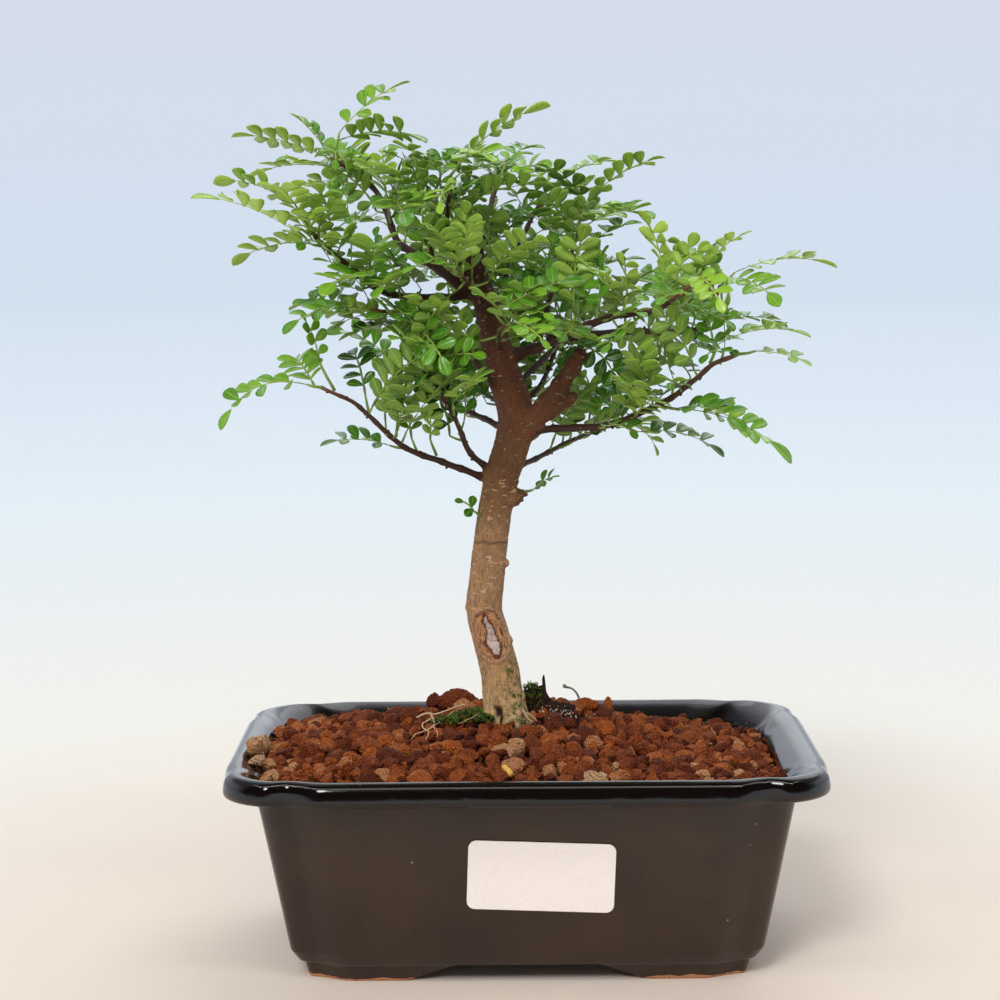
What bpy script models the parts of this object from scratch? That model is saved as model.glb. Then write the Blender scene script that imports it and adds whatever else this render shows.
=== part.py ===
# Chinese pepper trained as a small bonsai tree, in its glazed rectangular pot.
# Blender 4.5, metres, +Z up. The origin is on the floor under the middle of the pot, whose front faces -Y.
import math
import random

import bmesh
import bpy
from mathutils import Matrix, Vector
from mathutils.bvhtree import BVHTree

# Sizes are in millimetres, and MM turns them to metres.
MM = 0.001
GAP = 0.35  # left between pieces that meet

# Pot
LIP_HALF_X = 90.0
LIP_HALF_Y = 64.0
RIM_Z = 62.0
FOOT_HEIGHT = 5.4
FLOOR_Z = 9.5  # inside floor
ARCH_HEIGHT = 5.0
FRONT_ARCH_BOTTOM, FRONT_ARCH_TOP = 35.0, 19.0  # half widths
SIDE_ARCH_BOTTOM, SIDE_ARCH_TOP = 22.0, 12.0
DRAIN_X = 32.0
DRAIN_RADIUS = 7.0
SCREEN_SIDE = 22.0
SCREEN_THICK = 1.0
NOTCH_RUN = 7.0  # length of the long flank of a notch
SIDE_NOTCH, SIDE_SETBACK = 0.4, 0.15  # of those in front, for the notch and the corner on the short sides
CORNER_STEPS = 5
# One section of the pot: height, half width, half depth, corner run in X and in Y, notch depth, and how far
# the corner stands back from the front wall
OUTSIDE = [
    (0.0, 67.0, 45.0, 4.6, 8.5, 4.6, 4.2),
    (5.0, 68.3, 46.6, 4.9, 9.3, 4.6, 4.2),
    (5.4, 69.7, 48.0, 6.1, 10.5, 4.6, 4.1),
    (8.8, 72.2, 50.0, 8.8, 11.5, 4.6, 3.9),
    (52.0, 80.0, 54.0, 10.8, 12.6, 3.8, 2.5),
    (55.0, 84.8, 57.8, 15.3, 16.3, 4.0, 2.3),
    (57.2, 88.6, 62.4, 18.9, 20.4, 4.2, 2.0),
    (59.6, LIP_HALF_X, LIP_HALF_Y, 20.3, 22.0, 4.0, 1.6),
    (RIM_Z, 86.6, 61.6, 17.4, 20.0, 2.6, 1.2),
]
INSIDE = [
    (60.6, 82.0, 58.0, 16.0, 20.0, 1.2, 0.8),
    (57.0, 77.0, 53.6, 14.0, 18.0, 0.8, 0.5),
    (48.0, 75.0, 49.0, 13.0, 14.0, 0.5, 0.3),
    (13.0, 67.5, 43.5, 11.0, 12.0, 0.4, 0.2),
    (FLOOR_Z, 64.0, 40.5, 10.0, 11.0, 0.4, 0.2),
]
FOOT_RECESS = [
    (FOOT_HEIGHT, 58.5, 34.5, 7.0, 7.0, 0.4, 0.2),
    (0.0, 59.5, 35.5, 7.0, 7.0, 0.4, 0.2),
]

# Soil
SOIL_LEVEL = 58.6
SOIL_HALF_X, SOIL_HALF_Y = 82.0, 60.0  # of the sheet of grains, before the pot's inside limits it
MOUND_HEIGHT = 10.4
MOUND_X, MOUND_Y = -8.0, 4.0
MOUND_SPREAD_X, MOUND_SPREAD_Y = 36.0, 30.0
SOIL_FALL_X = 0.030  # the surface falls towards +X
GRAIN_PITCH = 6.6
GRAIN_RELIEF = 3.0
CALM_EDGE = 16.0  # the relief fades out over this distance from the sheet's edge
ROOT_RADIUS = 8.6
ROOT_BOTTOM = 50.0

# Sticker on the front
STICKER_WIDTH, STICKER_HEIGHT, STICKER_THICK = 43.0, 21.0, 0.5
STICKER_X, STICKER_Z, STICKER_TURN = 4.0, 33.2, -2.2

# Leaves
BLADE = 0.6  # thickness of a frond
RACHIS = 0.5  # half the width of the winged rib
LEAFLET_LEAN = 22.0  # degrees from square to the rib, towards the tip
FOLD = 0.30  # rise of the leaflets over their distance from the rib
STEM_RADIUS = 0.6
TRIES = 60

# Wood: points of each route as (x, y, z), then the radius at its start and at its end
TRUNK = [
    (-6, 0, ROOT_BOTTOM, ROOT_RADIUS), (-6, 0, 66.5, ROOT_RADIUS), (-6.2, 0, 70.5, 7.4),
    (-6.7, 0, 76, 6.4), (-7.6, 0, 84, 6.2), (-10, 0, 94, 5.9), (-12.3, 0, 104, 5.8),
    (-11.6, 0, 112, 5.5), (-10.2, 0, 125, 5.3), (-8.8, 0, 134, 5.2), (-6.9, 0, 144, 5.3),
    (-3.6, 0, 154, 5.5), (-2, 0, 162, 5.6), (-3.2, 0, 169, 5.6), (-6.4, 0, 178, 5.2),
    (-8.4, 0, 187, 4.5), (-11.3, 0, 199, 3.8), (-14, 0, 207, 3.5), (-16.2, 0, 213.6, 3.0),
]
BRANCHES = {
    "low_left": ([(-8, 0, 143), (-21, -8, 149), (-30, -14, 153), (-36, -18, 156), (-43, -24, 163),
                  (-50, -29, 170), (-59, -35, 175)], 1.7, 0.8),
    "left_rising": ([(-9, 0, 146), (-16, -8, 153), (-19, -12, 160), (-21, -15, 165), (-28, -22, 178)], 1.5, 0.8),
    "left_back": ([(-4, 0, 159), (-15, 16, 163), (-26, 34, 167), (-33, 44, 168)], 1.6, 0.8),
    "left_mid": ([(-4, 0, 166), (-12, -8, 178), (-18, -12, 185), (-29, -18, 193), (-36, -21, 196),
                  (-45, -28, 197)], 1.6, 0.8),
    "upper_left": ([(-12, 0, 202), (-23, -2, 200), (-38, -9, 201), (-45, -14, 204), (-51, -20, 210),
                    (-59, -30, 217), (-62, -34, 222)], 1.9, 0.8),
    "steep_left": ([(-14, 0, 200), (-25, 4, 208), (-34, 6, 214), (-38, 7, 217), (-43, 10, 230),
                    (-48, 10, 236), (-57, 2, 242)], 2.4, 0.9),
    "spur_a": ([(-26, 4, 208), (-28, 1, 217), (-26, -8, 232)], 1.2, 0.8),
    "spur_b": ([(-16, 0, 203), (-22, -12, 218), (-21, -30, 236)], 1.5, 0.8),
    "leader": ([(-9, 0, 192), (-12, -4, 206), (-12, -4, 217), (-7, 4, 235)], 1.5, 0.9),
    "right_upper": ([(-5, 0, 181), (7, -10, 186), (17, -18, 191), (28, -27, 195), (39, -35, 197),
                     (48, -42, 204)], 2.4, 0.9),
    "right_middle": ([(-5, 0, 182), (14, 4, 187), (35, 3, 189), (49, 0, 189), (55, -2, 191),
                      (60, -6, 203)], 2.0, 0.9),
    "right_low": ([(-2, 0, 159), (16, -14, 161), (25, -20, 162), (36, -28, 167), (46, -34, 173),
                   (55, -38, 181), (62, -39, 184)], 1.8, 0.9),
    "right_lowest": ([(-4, 0, 147), (6, 14, 150), (17, 28, 154), (29, 42, 157)], 1.5, 0.8),
    "stub_long": ([(-2, 0, 158), (9, -8, 170), (13, -11, 176), (18, -16, 184)], 3.6, 2.3),
    "stub_short": ([(2, -4, 161), (11, -10, 167), (16, -13, 171)], 2.4, 1.6),
    "back_right_high": ([(-4, 0, 171), (8, 18, 181), (17, 30, 187), (25, 42, 191)], 1.5, 0.8),
    "back_right": ([(-3, 0, 165), (6, 16, 172), (12, 38, 185), (14, 48, 190)], 1.4, 0.8),
    "right_rising": ([(8, -11, 186), (8, -10, 199), (14, -6, 210), (18, 0, 225)], 1.4, 0.8),
    "middle_rising": ([(-9, 0, 193), (-4, 12, 208), (4, 24, 225), (9, 30, 231)], 1.4, 0.8),
    "front_low": ([(-7, 0, 184), (-7, -25, 190), (-5, -40, 193)], 1.3, 0.8),
    "front_high": ([(-11, 0, 198), (-15, -24, 204), (-19, -38, 208)], 1.3, 0.8),
    "back_low": ([(-3, 0, 162), (-9, 28, 167), (-15, 44, 169)], 1.3, 0.8),
    "back_middle": ([(-7, 0, 187), (-5, 28, 192), (-1, 44, 196)], 1.3, 0.8),
    "back_high": ([(-10, 0, 198), (-17, 28, 203), (-23, 44, 208)], 1.3, 0.8),
}
# Knots and the swollen bases of branches: centre and radius
KNOTS = [((-1.6, -2, 139), 2.6), ((-11.4, -2, 145.5), 2.5), ((-5.6, -3, 118.5), 1.8), ((1.6, -2, 160), 4.4)]
SCAR_CENTRE = (-9.9, -4.7, 96.6)
SCAR_HALF_HEIGHT, SCAR_HALF_WIDTH = 7.6, 4.2
SCAR_CALLUS = 1.3  # radius of the ring of new wood round the healed cut

# Leafy shoots: branch, how far along it, where the green stem ends,
# and each frond as (tip x, y, z, roll towards the front in degrees, pairs of leaflets, arch)
SHOOTS = {
    "low_left_end": ("low_left", 1.0, (-63, -37, 176), [(-88, -46, 164, 10, 4, 6), (-69, -12, 183, 20, 3, 2)]),
    "low_left_rise": ("low_left", 0.92, (-59, -33, 183), [(-65, -34, 197, 40, 3, 1)]),
    "low_left_lift": ("low_left", 0.73, (-47, -22, 172), [(-52, -4, 185, 30, 3, 2)]),
    "low_left_mid": ("low_left", 0.56, (-37, -28, 167), [(-28, -44, 177, 20, 3, 2)]),
    "low_left_drop": ("low_left", 0.47, (-40, -15, 156), [(-61, -19, 157, 15, 4, 2)]),
    "low_left_bud": ("low_left", 0.32, (-28, -16, 158), [(-28, -21, 168, 30, 2, 1)]),
    "rising_end": ("left_rising", 1.0, (-29, -26, 183), [(-38, -48, 190, 25, 3, 2), (-20, -42, 192, 20, 3, 2)]),
    "rising_side": ("left_rising", 0.61, (-21, -22, 169), [(-12, -46, 178, 20, 3, 2)]),
    "back_left_end": ("left_back", 1.0, (-39, 48, 174), [(-64, 56, 188, 25, 4, 4), (-42, 60, 158, 10, 3, 2)]),
    "mid_left_end": ("left_mid", 1.0, (-50, -30, 198), [(-71, -38, 192, 15, 4, 3), (-71, -14, 202, 20, 3, 2)]),
    "mid_left_side": ("left_mid", 0.58, (-27, -24, 193), [(-45, -46, 196, 25, 3, 2)]),
    "mid_left_front": ("left_mid", 0.35, (-16, -24, 184), [(-21, -54, 177, 10, 3, 3)]),
    "far_left": ("upper_left", 0.86, (-61, -33, 217), [(-95, -42, 231, -5, 5, 3), (-86, -20, 211, -15, 4, 3)]),
    "upper_left_end": ("upper_left", 1.0, (-65, -35, 226), [(-90, -28, 235, -25, 4, 3), (-78, -58, 224, -10, 3, 2)]),
    "upper_left_front": ("upper_left", 0.52, (-46, -26, 206), [(-57, -56, 203, 10, 3, 3), (-38, -56, 214, 10, 3, 3)]),
    "upper_left_inner": ("upper_left", 0.35, (-36, -20, 203), [(-34, -48, 193, 5, 3, 3)]),
    "crown_end": ("steep_left", 1.0, (-55, 2, 250), [(-34, 8, 266, 20, 5, 2), (-28, -16, 247, -20, 4, 3)]),
    "crown_left": ("steep_left", 0.91, (-60, 8, 243), [(-89, 14, 250, -25, 4, 2), (-69, -2, 255, 10, 2, 1)]),
    "crown_back": ("steep_left", 0.77, (-53, 20, 238), [(-86, 36, 238, 5, 4, 3), (-56, 48, 246, 10, 3, 3)]),
    "crown_front": ("steep_left", 0.55, (-40, -10, 229), [(-46, -40, 239, 20, 4, 3), (-32, -50, 229, 10, 3, 3)]),
    "spur_a_end": ("spur_a", 1.0, (-24, -12, 237), [(-39, -26, 245, 15, 4, 2), (-12, -8, 246, 0, 3, 2)]),
    "spur_b_end": ("spur_b", 1.0, (-18, -33, 240), [(8, -26, 257, -20, 5, 2), (-8, -56, 240, 10, 3, 3)]),
    "leader_end": ("leader", 1.0, (-5, 8, 240), [(6, 24, 246, 10, 3, 2), (-22, 30, 245, 10, 4, 3)]),
    "middle_rising_end": ("middle_rising", 1.0, (12, 33, 235), [(31, 44, 242, 0, 4, 2), (5, 54, 243, 10, 3, 2)]),
    "right_rising_end": ("right_rising", 1.0, (21, -2, 230), [(43, -8, 242, -15, 4, 2), (4, -12, 240, -15, 4, 2)]),
    "right_rising_side": ("right_rising", 0.79, (19, -12, 221), [(38, -36, 224, 0, 4, 3)]),
    "right_upper_end": ("right_upper", 1.0, (51, -43, 209), [(65, -48, 220, -5, 3, 1), (56, -60, 197, 20, 3, 3)]),
    "right_upper_rise": ("right_upper", 0.84, (41, -44, 204), [(33, -55, 226, 20, 4, 2)]),
    "right_upper_inner": ("right_upper", 0.61, (27, -36, 201), [(16, -56, 210, 15, 3, 2)]),
    "far_right": ("right_middle", 1.0, (64, -8, 207), [(95, -8, 209, 5, 5, 3), (76, -30, 199, 20, 3, 2)]),
    "right_middle_side": ("right_middle", 0.85, (62, 2, 192), [(82, 8, 190, 10, 3, 2)]),
    "right_middle_back": ("right_middle", 0.64, (47, 16, 193), [(64, 38, 206, 10, 4, 3), (36, 38, 203, 10, 3, 2)]),
    "right_low_end": ("right_low", 1.0, (67, -41, 185), [(83, -44, 181, 10, 3, 1)]),
    "right_low_rise": ("right_low", 0.88, (56, -41, 187), [(82, -50, 190, -5, 4, 3), (50, -34, 203, 25, 3, 2)]),
    "right_low_drop": ("right_low", 0.63, (47, -36, 168), [(78, -42, 153, 25, 5, 4), (62, -60, 164, 10, 3, 3)]),
    "right_low_under": ("right_low", 0.46, (34, -20, 160), [(60, -22, 153, 10, 4, 3), (44, -2, 155, 10, 3, 2)]),
    "right_low_front": ("right_low", 0.54, (32, -34, 169), [(28, -56, 178, 15, 3, 2)]),
    "lowest_end": ("right_lowest", 1.0, (33, 45, 157), [(45, 54, 146, 10, 3, 3)]),
    "back_right_high_end": ("back_right_high", 1.0, (28, 46, 193), [(50, 58, 199, 10, 4, 2)]),
    "back_right_end": ("back_right", 1.0, (16, 52, 194), [(26, 58, 214, 10, 3, 2)]),
    "front_low_end": ("front_low", 1.0, (-4, -45, 194), [(7, -59, 187, 10, 3, 2), (-14, -60, 203, 10, 3, 2)]),
    "front_high_end": ("front_high", 1.0, (-20, -43, 210), [(-34, -59, 209, 10, 3, 2), (-12, -58, 220, 10, 3, 2)]),
    "back_middle_end": ("back_middle", 1.0, (0, 49, 198), [(12, 59, 212, 10, 3, 2), (-14, 60, 208, 10, 3, 2)]),
    "back_high_end": ("back_high", 1.0, (-25, 49, 210), [(-43, 58, 217, 10, 3, 2), (-18, 59, 226, 10, 3, 2)]),
    "back_low_end": ("back_low", 1.0, (-17, 49, 171), [(-32, 59, 179, 10, 3, 2)]),
    "right_knot_tuft": ("trunk", 0.57, (2, -6, 141), [(11, -8, 146, 20, 2, 1)]),
    "left_knot_tuft": ("trunk", 0.54, (-16, -6, 135), [(-24, -7, 139, 20, 2, 1)]),
}


def clear_scene():
    for thing in list(bpy.data.objects):
        bpy.data.objects.remove(thing)


def make_collection(name, hidden=False):
    collection = bpy.data.collections.new(name)
    collection.hide_render = hidden
    bpy.context.scene.collection.children.link(collection)
    return collection


def make_material(name, colour, roughness, coat=0.0):
    material = bpy.data.materials.new(name)
    material.use_nodes = True
    shader = material.node_tree.nodes["Principled BSDF"]
    shader.inputs["Base Color"].default_value = (*colour, 1.0)
    shader.inputs["Roughness"].default_value = roughness
    shader.inputs["Coat Weight"].default_value = coat
    return material


def add_mesh(name, bm, collection, material=None, scale=MM):
    """A new object from a mesh in millimetres, with its faces pointing out."""
    bmesh.ops.recalc_face_normals(bm, faces=bm.faces)
    bmesh.ops.scale(bm, verts=bm.verts, vec=(scale, scale, scale))
    mesh = bpy.data.meshes.new(name)
    bm.to_mesh(mesh)
    bm.free()
    thing = bpy.data.objects.new(name, mesh)
    if material:
        mesh.materials.append(material)
    collection.objects.link(thing)
    return thing


def settle(thing):
    """Gives an object the mesh that its modifiers make."""
    graph = bpy.context.evaluated_depsgraph_get()
    mesh = bpy.data.meshes.new_from_object(thing.evaluated_get(graph))
    thing.modifiers.clear()
    thing.data = mesh
    return thing


def cut(thing, cutter, operation="DIFFERENCE"):
    cutter.hide_render = True
    cutter.display_type = "WIRE"
    boolean = thing.modifiers.new(cutter.name, "BOOLEAN")
    boolean.operation = operation
    boolean.object = cutter


def fuse(things):
    """Joins the solids to the first of them with one Boolean union."""
    body, others = things[0], things[1:]
    if others:
        joined = bpy.data.collections.new("joined_to_" + body.name)
        bpy.context.scene.collection.children.link(joined)
        for other in others:
            joined.objects.link(other)
        boolean = body.modifiers.new("union", "BOOLEAN")
        boolean.operation = "UNION"
        boolean.operand_type = "COLLECTION"
        boolean.collection = joined
        bpy.context.view_layer.update()
        settle(body)
        for other in others:
            bpy.data.objects.remove(other)
        bpy.data.collections.remove(joined)
    return body


def tube(name, path, collection, material, sides=6):
    """A capped tube along (x, y, z, radius) points, as a mesh."""
    curve = bpy.data.curves.new(name, "CURVE")
    curve.dimensions = "3D"
    curve.bevel_depth = MM
    curve.bevel_resolution = (sides - 4) // 2
    curve.use_fill_caps = True
    spline = curve.splines.new("POLY")
    spline.points.add(len(path) - 1)
    for point, (x, y, z, radius) in zip(spline.points, path):
        point.co = (x * MM, y * MM, z * MM, 1)
        point.radius = radius
    route = bpy.data.objects.new(name, curve)
    collection.objects.link(route)
    bpy.context.view_layer.update()
    mesh = bpy.data.meshes.new_from_object(route.evaluated_get(bpy.context.evaluated_depsgraph_get()))
    bpy.data.objects.remove(route)
    bm = bmesh.new()
    bm.from_mesh(mesh)
    bmesh.ops.remove_doubles(bm, verts=bm.verts, dist=0.00001)
    return add_mesh(name, bm, collection, material, scale=1.0)


def pot_outline(section, inset=0.0):
    """Ring of points of the pot at one height: straight sides, and set-back round corners between two notches."""
    z, half_x, half_y, run_x, run_y, notch, setback = section
    half_x, half_y = half_x - inset, half_y - inset
    front, side = half_x - run_x, half_y - run_y
    reach_x, reach_y = run_x - setback * SIDE_SETBACK, run_y - setback
    quarter = [(0, half_y), (front - NOTCH_RUN, half_y), (front - NOTCH_RUN / 3, half_y - notch * 0.75),
               (front, half_y - notch)]
    for step in range(1, CORNER_STEPS):
        angle = math.pi / 2 * step / CORNER_STEPS
        quarter.append((front + reach_x * math.sin(angle), side + reach_y * math.cos(angle)))
    quarter += [(half_x - notch * SIDE_NOTCH, side), (half_x, side - NOTCH_RUN), (half_x, 0)]
    right_front = [(x, -y) for x, y in quarter]
    right_back = [(x, y) for x, y in reversed(quarter)][1:]
    left_back = [(-x, y) for x, y in quarter][1:]
    left_front = [(-x, -y) for x, y in reversed(quarter)][1:-1]
    return [Vector((x, y, z)) for x, y in right_front + right_back + left_back + left_front]


def loft(rings):
    """A closed solid through rings of equally many points, with its first and last ring capped."""
    bm = bmesh.new()
    loops = [[bm.verts.new(point) for point in ring] for ring in rings]
    for lower, upper in zip(loops, loops[1:]):
        for here in range(len(lower)):
            after = (here + 1) % len(lower)
            bm.faces.new((lower[here], lower[after], upper[after], upper[here]))
    bm.faces.new(list(reversed(loops[0])))
    bm.faces.new(loops[-1])
    return bm


def prism(profile, along, half_length):
    """A bar with this (across, z) profile, along X or Y."""
    ends = []
    for end in (-half_length, half_length):
        ends.append([Vector((end, a, z) if along == "X" else (a, end, z)) for a, z in profile])
    return loft(ends)


def arch_profile(half_bottom, half_top):
    """Outline of a gap between two feet, with eased shoulders."""
    right = [(half_bottom + 1.5, -1.0), (half_bottom, 0.2), (half_bottom * 0.55 + half_top * 0.45, 2.4),
             (half_top + 2.5, ARCH_HEIGHT - 0.5), (half_top, ARCH_HEIGHT)]
    return right + [(-a, z) for a, z in reversed(right)]


def cylinder(radius, bottom, top, x=0.0, y=0.0, sides=20):
    bm = bmesh.new()
    place = Matrix.Translation((x, y, (bottom + top) / 2))
    bmesh.ops.create_cone(bm, cap_ends=True, segments=sides, radius1=radius, radius2=radius,
                          depth=top - bottom, matrix=place)
    return bm


def block(size, centre, turn=None):
    bm = bmesh.new()
    place = Matrix.Translation(centre) @ (turn or Matrix()) @ Matrix.Diagonal((*size, 1))
    bmesh.ops.create_cube(bm, size=1, matrix=place)
    return bm


def make_pot(parts, cutters):
    rings = [pot_outline(section) for section in FOOT_RECESS + OUTSIDE + INSIDE]
    glaze = make_material("black_brown_glaze", (0.012, 0.008, 0.007), 0.12, coat=1.0)
    pot = add_mesh("pot", loft(rings), parts, glaze)
    front_arch = prism(arch_profile(FRONT_ARCH_BOTTOM, FRONT_ARCH_TOP), "Y", LIP_HALF_Y)
    side_arch = prism(arch_profile(SIDE_ARCH_BOTTOM, SIDE_ARCH_TOP), "X", LIP_HALF_X)
    cut(pot, add_mesh("front_arch", front_arch, cutters))
    cut(pot, add_mesh("side_arch", side_arch, cutters))
    for side in (-1, 1):
        hole = cylinder(DRAIN_RADIUS, ARCH_HEIGHT - 2, FLOOR_Z + 3, side * DRAIN_X)
        cut(pot, add_mesh("drain_hole", hole, cutters))
    return pot


def screen_place(side, grow=0.0):
    size = (SCREEN_SIDE + 2 * grow, SCREEN_SIDE + 2 * grow, SCREEN_THICK + 2 * grow)
    return size, (side * DRAIN_X, 0, FLOOR_Z + GAP + SCREEN_THICK / 2)


def make_screens(parts):
    plastic = make_material("black_plastic_mesh", (0.02, 0.02, 0.02), 0.6)
    for name, side in (("drain_screen_left", -1), ("drain_screen_right", 1)):
        add_mesh(name, block(*screen_place(side)), parts, plastic)


def soil_height(x, y):
    mound = ((x - MOUND_X) / MOUND_SPREAD_X) ** 2 + ((y - MOUND_Y) / MOUND_SPREAD_Y) ** 2
    return SOIL_LEVEL - SOIL_FALL_X * x + MOUND_HEIGHT * math.exp(-mound / 2)


def make_soil(parts, cutters):
    """Baked clay grains as lumps on a low mound, in the pot's inside, with a plain hole for the root."""
    chance = random.Random(11)
    columns, rows = int(2 * SOIL_HALF_X / GRAIN_PITCH), int(2 * SOIL_HALF_Y / GRAIN_PITCH)
    bm = bmesh.new()
    bmesh.ops.create_grid(bm, x_segments=columns, y_segments=rows, size=1)
    for vert in bm.verts:
        column, row = round((vert.co.x + 1) / 2 * columns), round((vert.co.y + 1) / 2 * rows)
        x = vert.co.x * SOIL_HALF_X + chance.uniform(-1, 1)
        y = vert.co.y * SOIL_HALF_Y + chance.uniform(-1, 1)
        calm = min(1.0, max(0.0, min(SOIL_HALF_X - abs(x), SOIL_HALF_Y - abs(y)) / CALM_EDGE))
        lump = GRAIN_RELIEF * ((column + row) % 2 - 0.5) + chance.uniform(-0.5, 0.5)
        vert.co = (x, y, soil_height(x, y) + calm * lump)
    lower = bmesh.ops.extrude_face_region(bm, geom=bm.faces[:])["geom"]
    for vert in lower:
        if isinstance(vert, bmesh.types.BMVert):
            vert.co.z = FLOOR_Z / 2
    soil = add_mesh("soil", bm, parts, make_material("akadama_clay", (0.20, 0.055, 0.022), 0.95))
    hole = cylinder(ROOT_RADIUS + 2 * GAP, ROOT_BOTTOM - GAP, RIM_Z + 3 * MOUND_HEIGHT, TRUNK[0][0], 0, 16)
    cut(soil, add_mesh("root_hole", hole, cutters))
    for side in (-1, 1):
        cut(soil, add_mesh("screen_room", block(*screen_place(side, GAP)), cutters))
    cavity = [(z + GAP, *rest) for z, *rest in reversed(INSIDE)]
    above = (RIM_Z + 2 * MOUND_HEIGHT, LIP_HALF_X, LIP_HALF_Y, *INSIDE[0][3:])
    inside = loft([pot_outline(section, GAP) for section in cavity + [above]])
    cut(soil, add_mesh("soil_limit", inside, cutters), "INTERSECT")
    return soil


def make_sticker(parts):
    """A blank sticker, laid against the leaning front wall."""
    low, high = OUTSIDE[3], OUTSIDE[4]
    lean = math.atan2(high[2] - low[2], high[0] - low[0])
    wall_y = -(low[2] + (STICKER_Z - low[0]) * math.tan(lean)) - (GAP + STICKER_THICK / 2) / math.cos(lean)
    turn = Matrix.Rotation(lean, 4, "X") @ Matrix.Rotation(math.radians(-STICKER_TURN), 4, "Y")
    bm = block((STICKER_WIDTH, STICKER_THICK, STICKER_HEIGHT), (0, 0, 0))
    upright = [edge for edge in bm.edges if abs(edge.verts[0].co.y - edge.verts[1].co.y) > 0.1]
    bmesh.ops.bevel(bm, geom=upright, offset=2.0, segments=3, profile=0.5, affect="EDGES")
    bmesh.ops.transform(bm, matrix=Matrix.Translation((STICKER_X, wall_y, STICKER_Z)) @ turn, verts=bm.verts)
    return add_mesh("sticker", bm, parts, make_material("white_paper", (0.82, 0.78, 0.78), 0.55))


def with_radii(points, first, last):
    steps = max(1, len(points) - 1)
    return [(*point, first + (last - first) * at / steps) for at, point in enumerate(points)]


def along(path, part):
    """The point this share of the way along a path of (x, y, z, radius) points, and the radius there."""
    spans = [(Vector(b[:3]) - Vector(a[:3])).length for a, b in zip(path, path[1:])]
    left = part * sum(spans)
    for (a, b), span in zip(zip(path, path[1:]), spans):
        if left <= span + 1e-6:
            share = left / span
            return Vector(a[:3]).lerp(Vector(b[:3]), share), a[3] + (b[3] - a[3]) * share
        left -= span
    return Vector(path[-1][:3]), path[-1][3]


def make_trunk(parts, paths):
    """The trunk with its root, old stubs, knots, healed cut and woody branches, which grew as one piece."""
    bark = make_material("pepper_bark", (0.13, 0.065, 0.035), 0.85)
    pieces = [tube("trunk", TRUNK, parts, bark, sides=10)]
    for name in BRANCHES:
        pieces.append(tube(name + "_wood", paths[name], parts, bark))
    for centre, radius in KNOTS:
        bm = bmesh.new()
        bmesh.ops.create_icosphere(bm, subdivisions=1, radius=radius, matrix=Matrix.Translation(centre))
        pieces.append(add_mesh("knot", bm, parts, bark))
    ring = []
    for step in range(9):
        turn = math.tau * step / 9
        x = SCAR_CENTRE[0] + SCAR_HALF_WIDTH * math.sin(turn)
        z = SCAR_CENTRE[2] + SCAR_HALF_HEIGHT * math.cos(turn)
        ring.append((x, SCAR_CENTRE[1] + 0.9 * abs(math.sin(turn)), z, SCAR_CALLUS))
    pieces.append(tube("scar_callus", ring, parts, bark))
    return fuse(pieces)


def frond_frame(base, tip, roll):
    """Directions of a frond: along its rib, up in its own upright plane, across, and square to the blade."""
    ahead = (tip - base).normalized()
    up = Vector((0, 0, 1)) - ahead * ahead.z
    up = up.normalized() if up.length > 0.05 else Vector((0, -1, 0))
    across = ahead.cross(up)
    if across.y > 0 or (abs(across.y) < 1e-6 and across.x < 0):
        across = -across
    turn = math.radians(roll)
    side = across * math.cos(turn) - up * math.sin(turn)
    face = up * math.cos(turn) + across * math.sin(turn)
    return ahead, up, side, face


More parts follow.
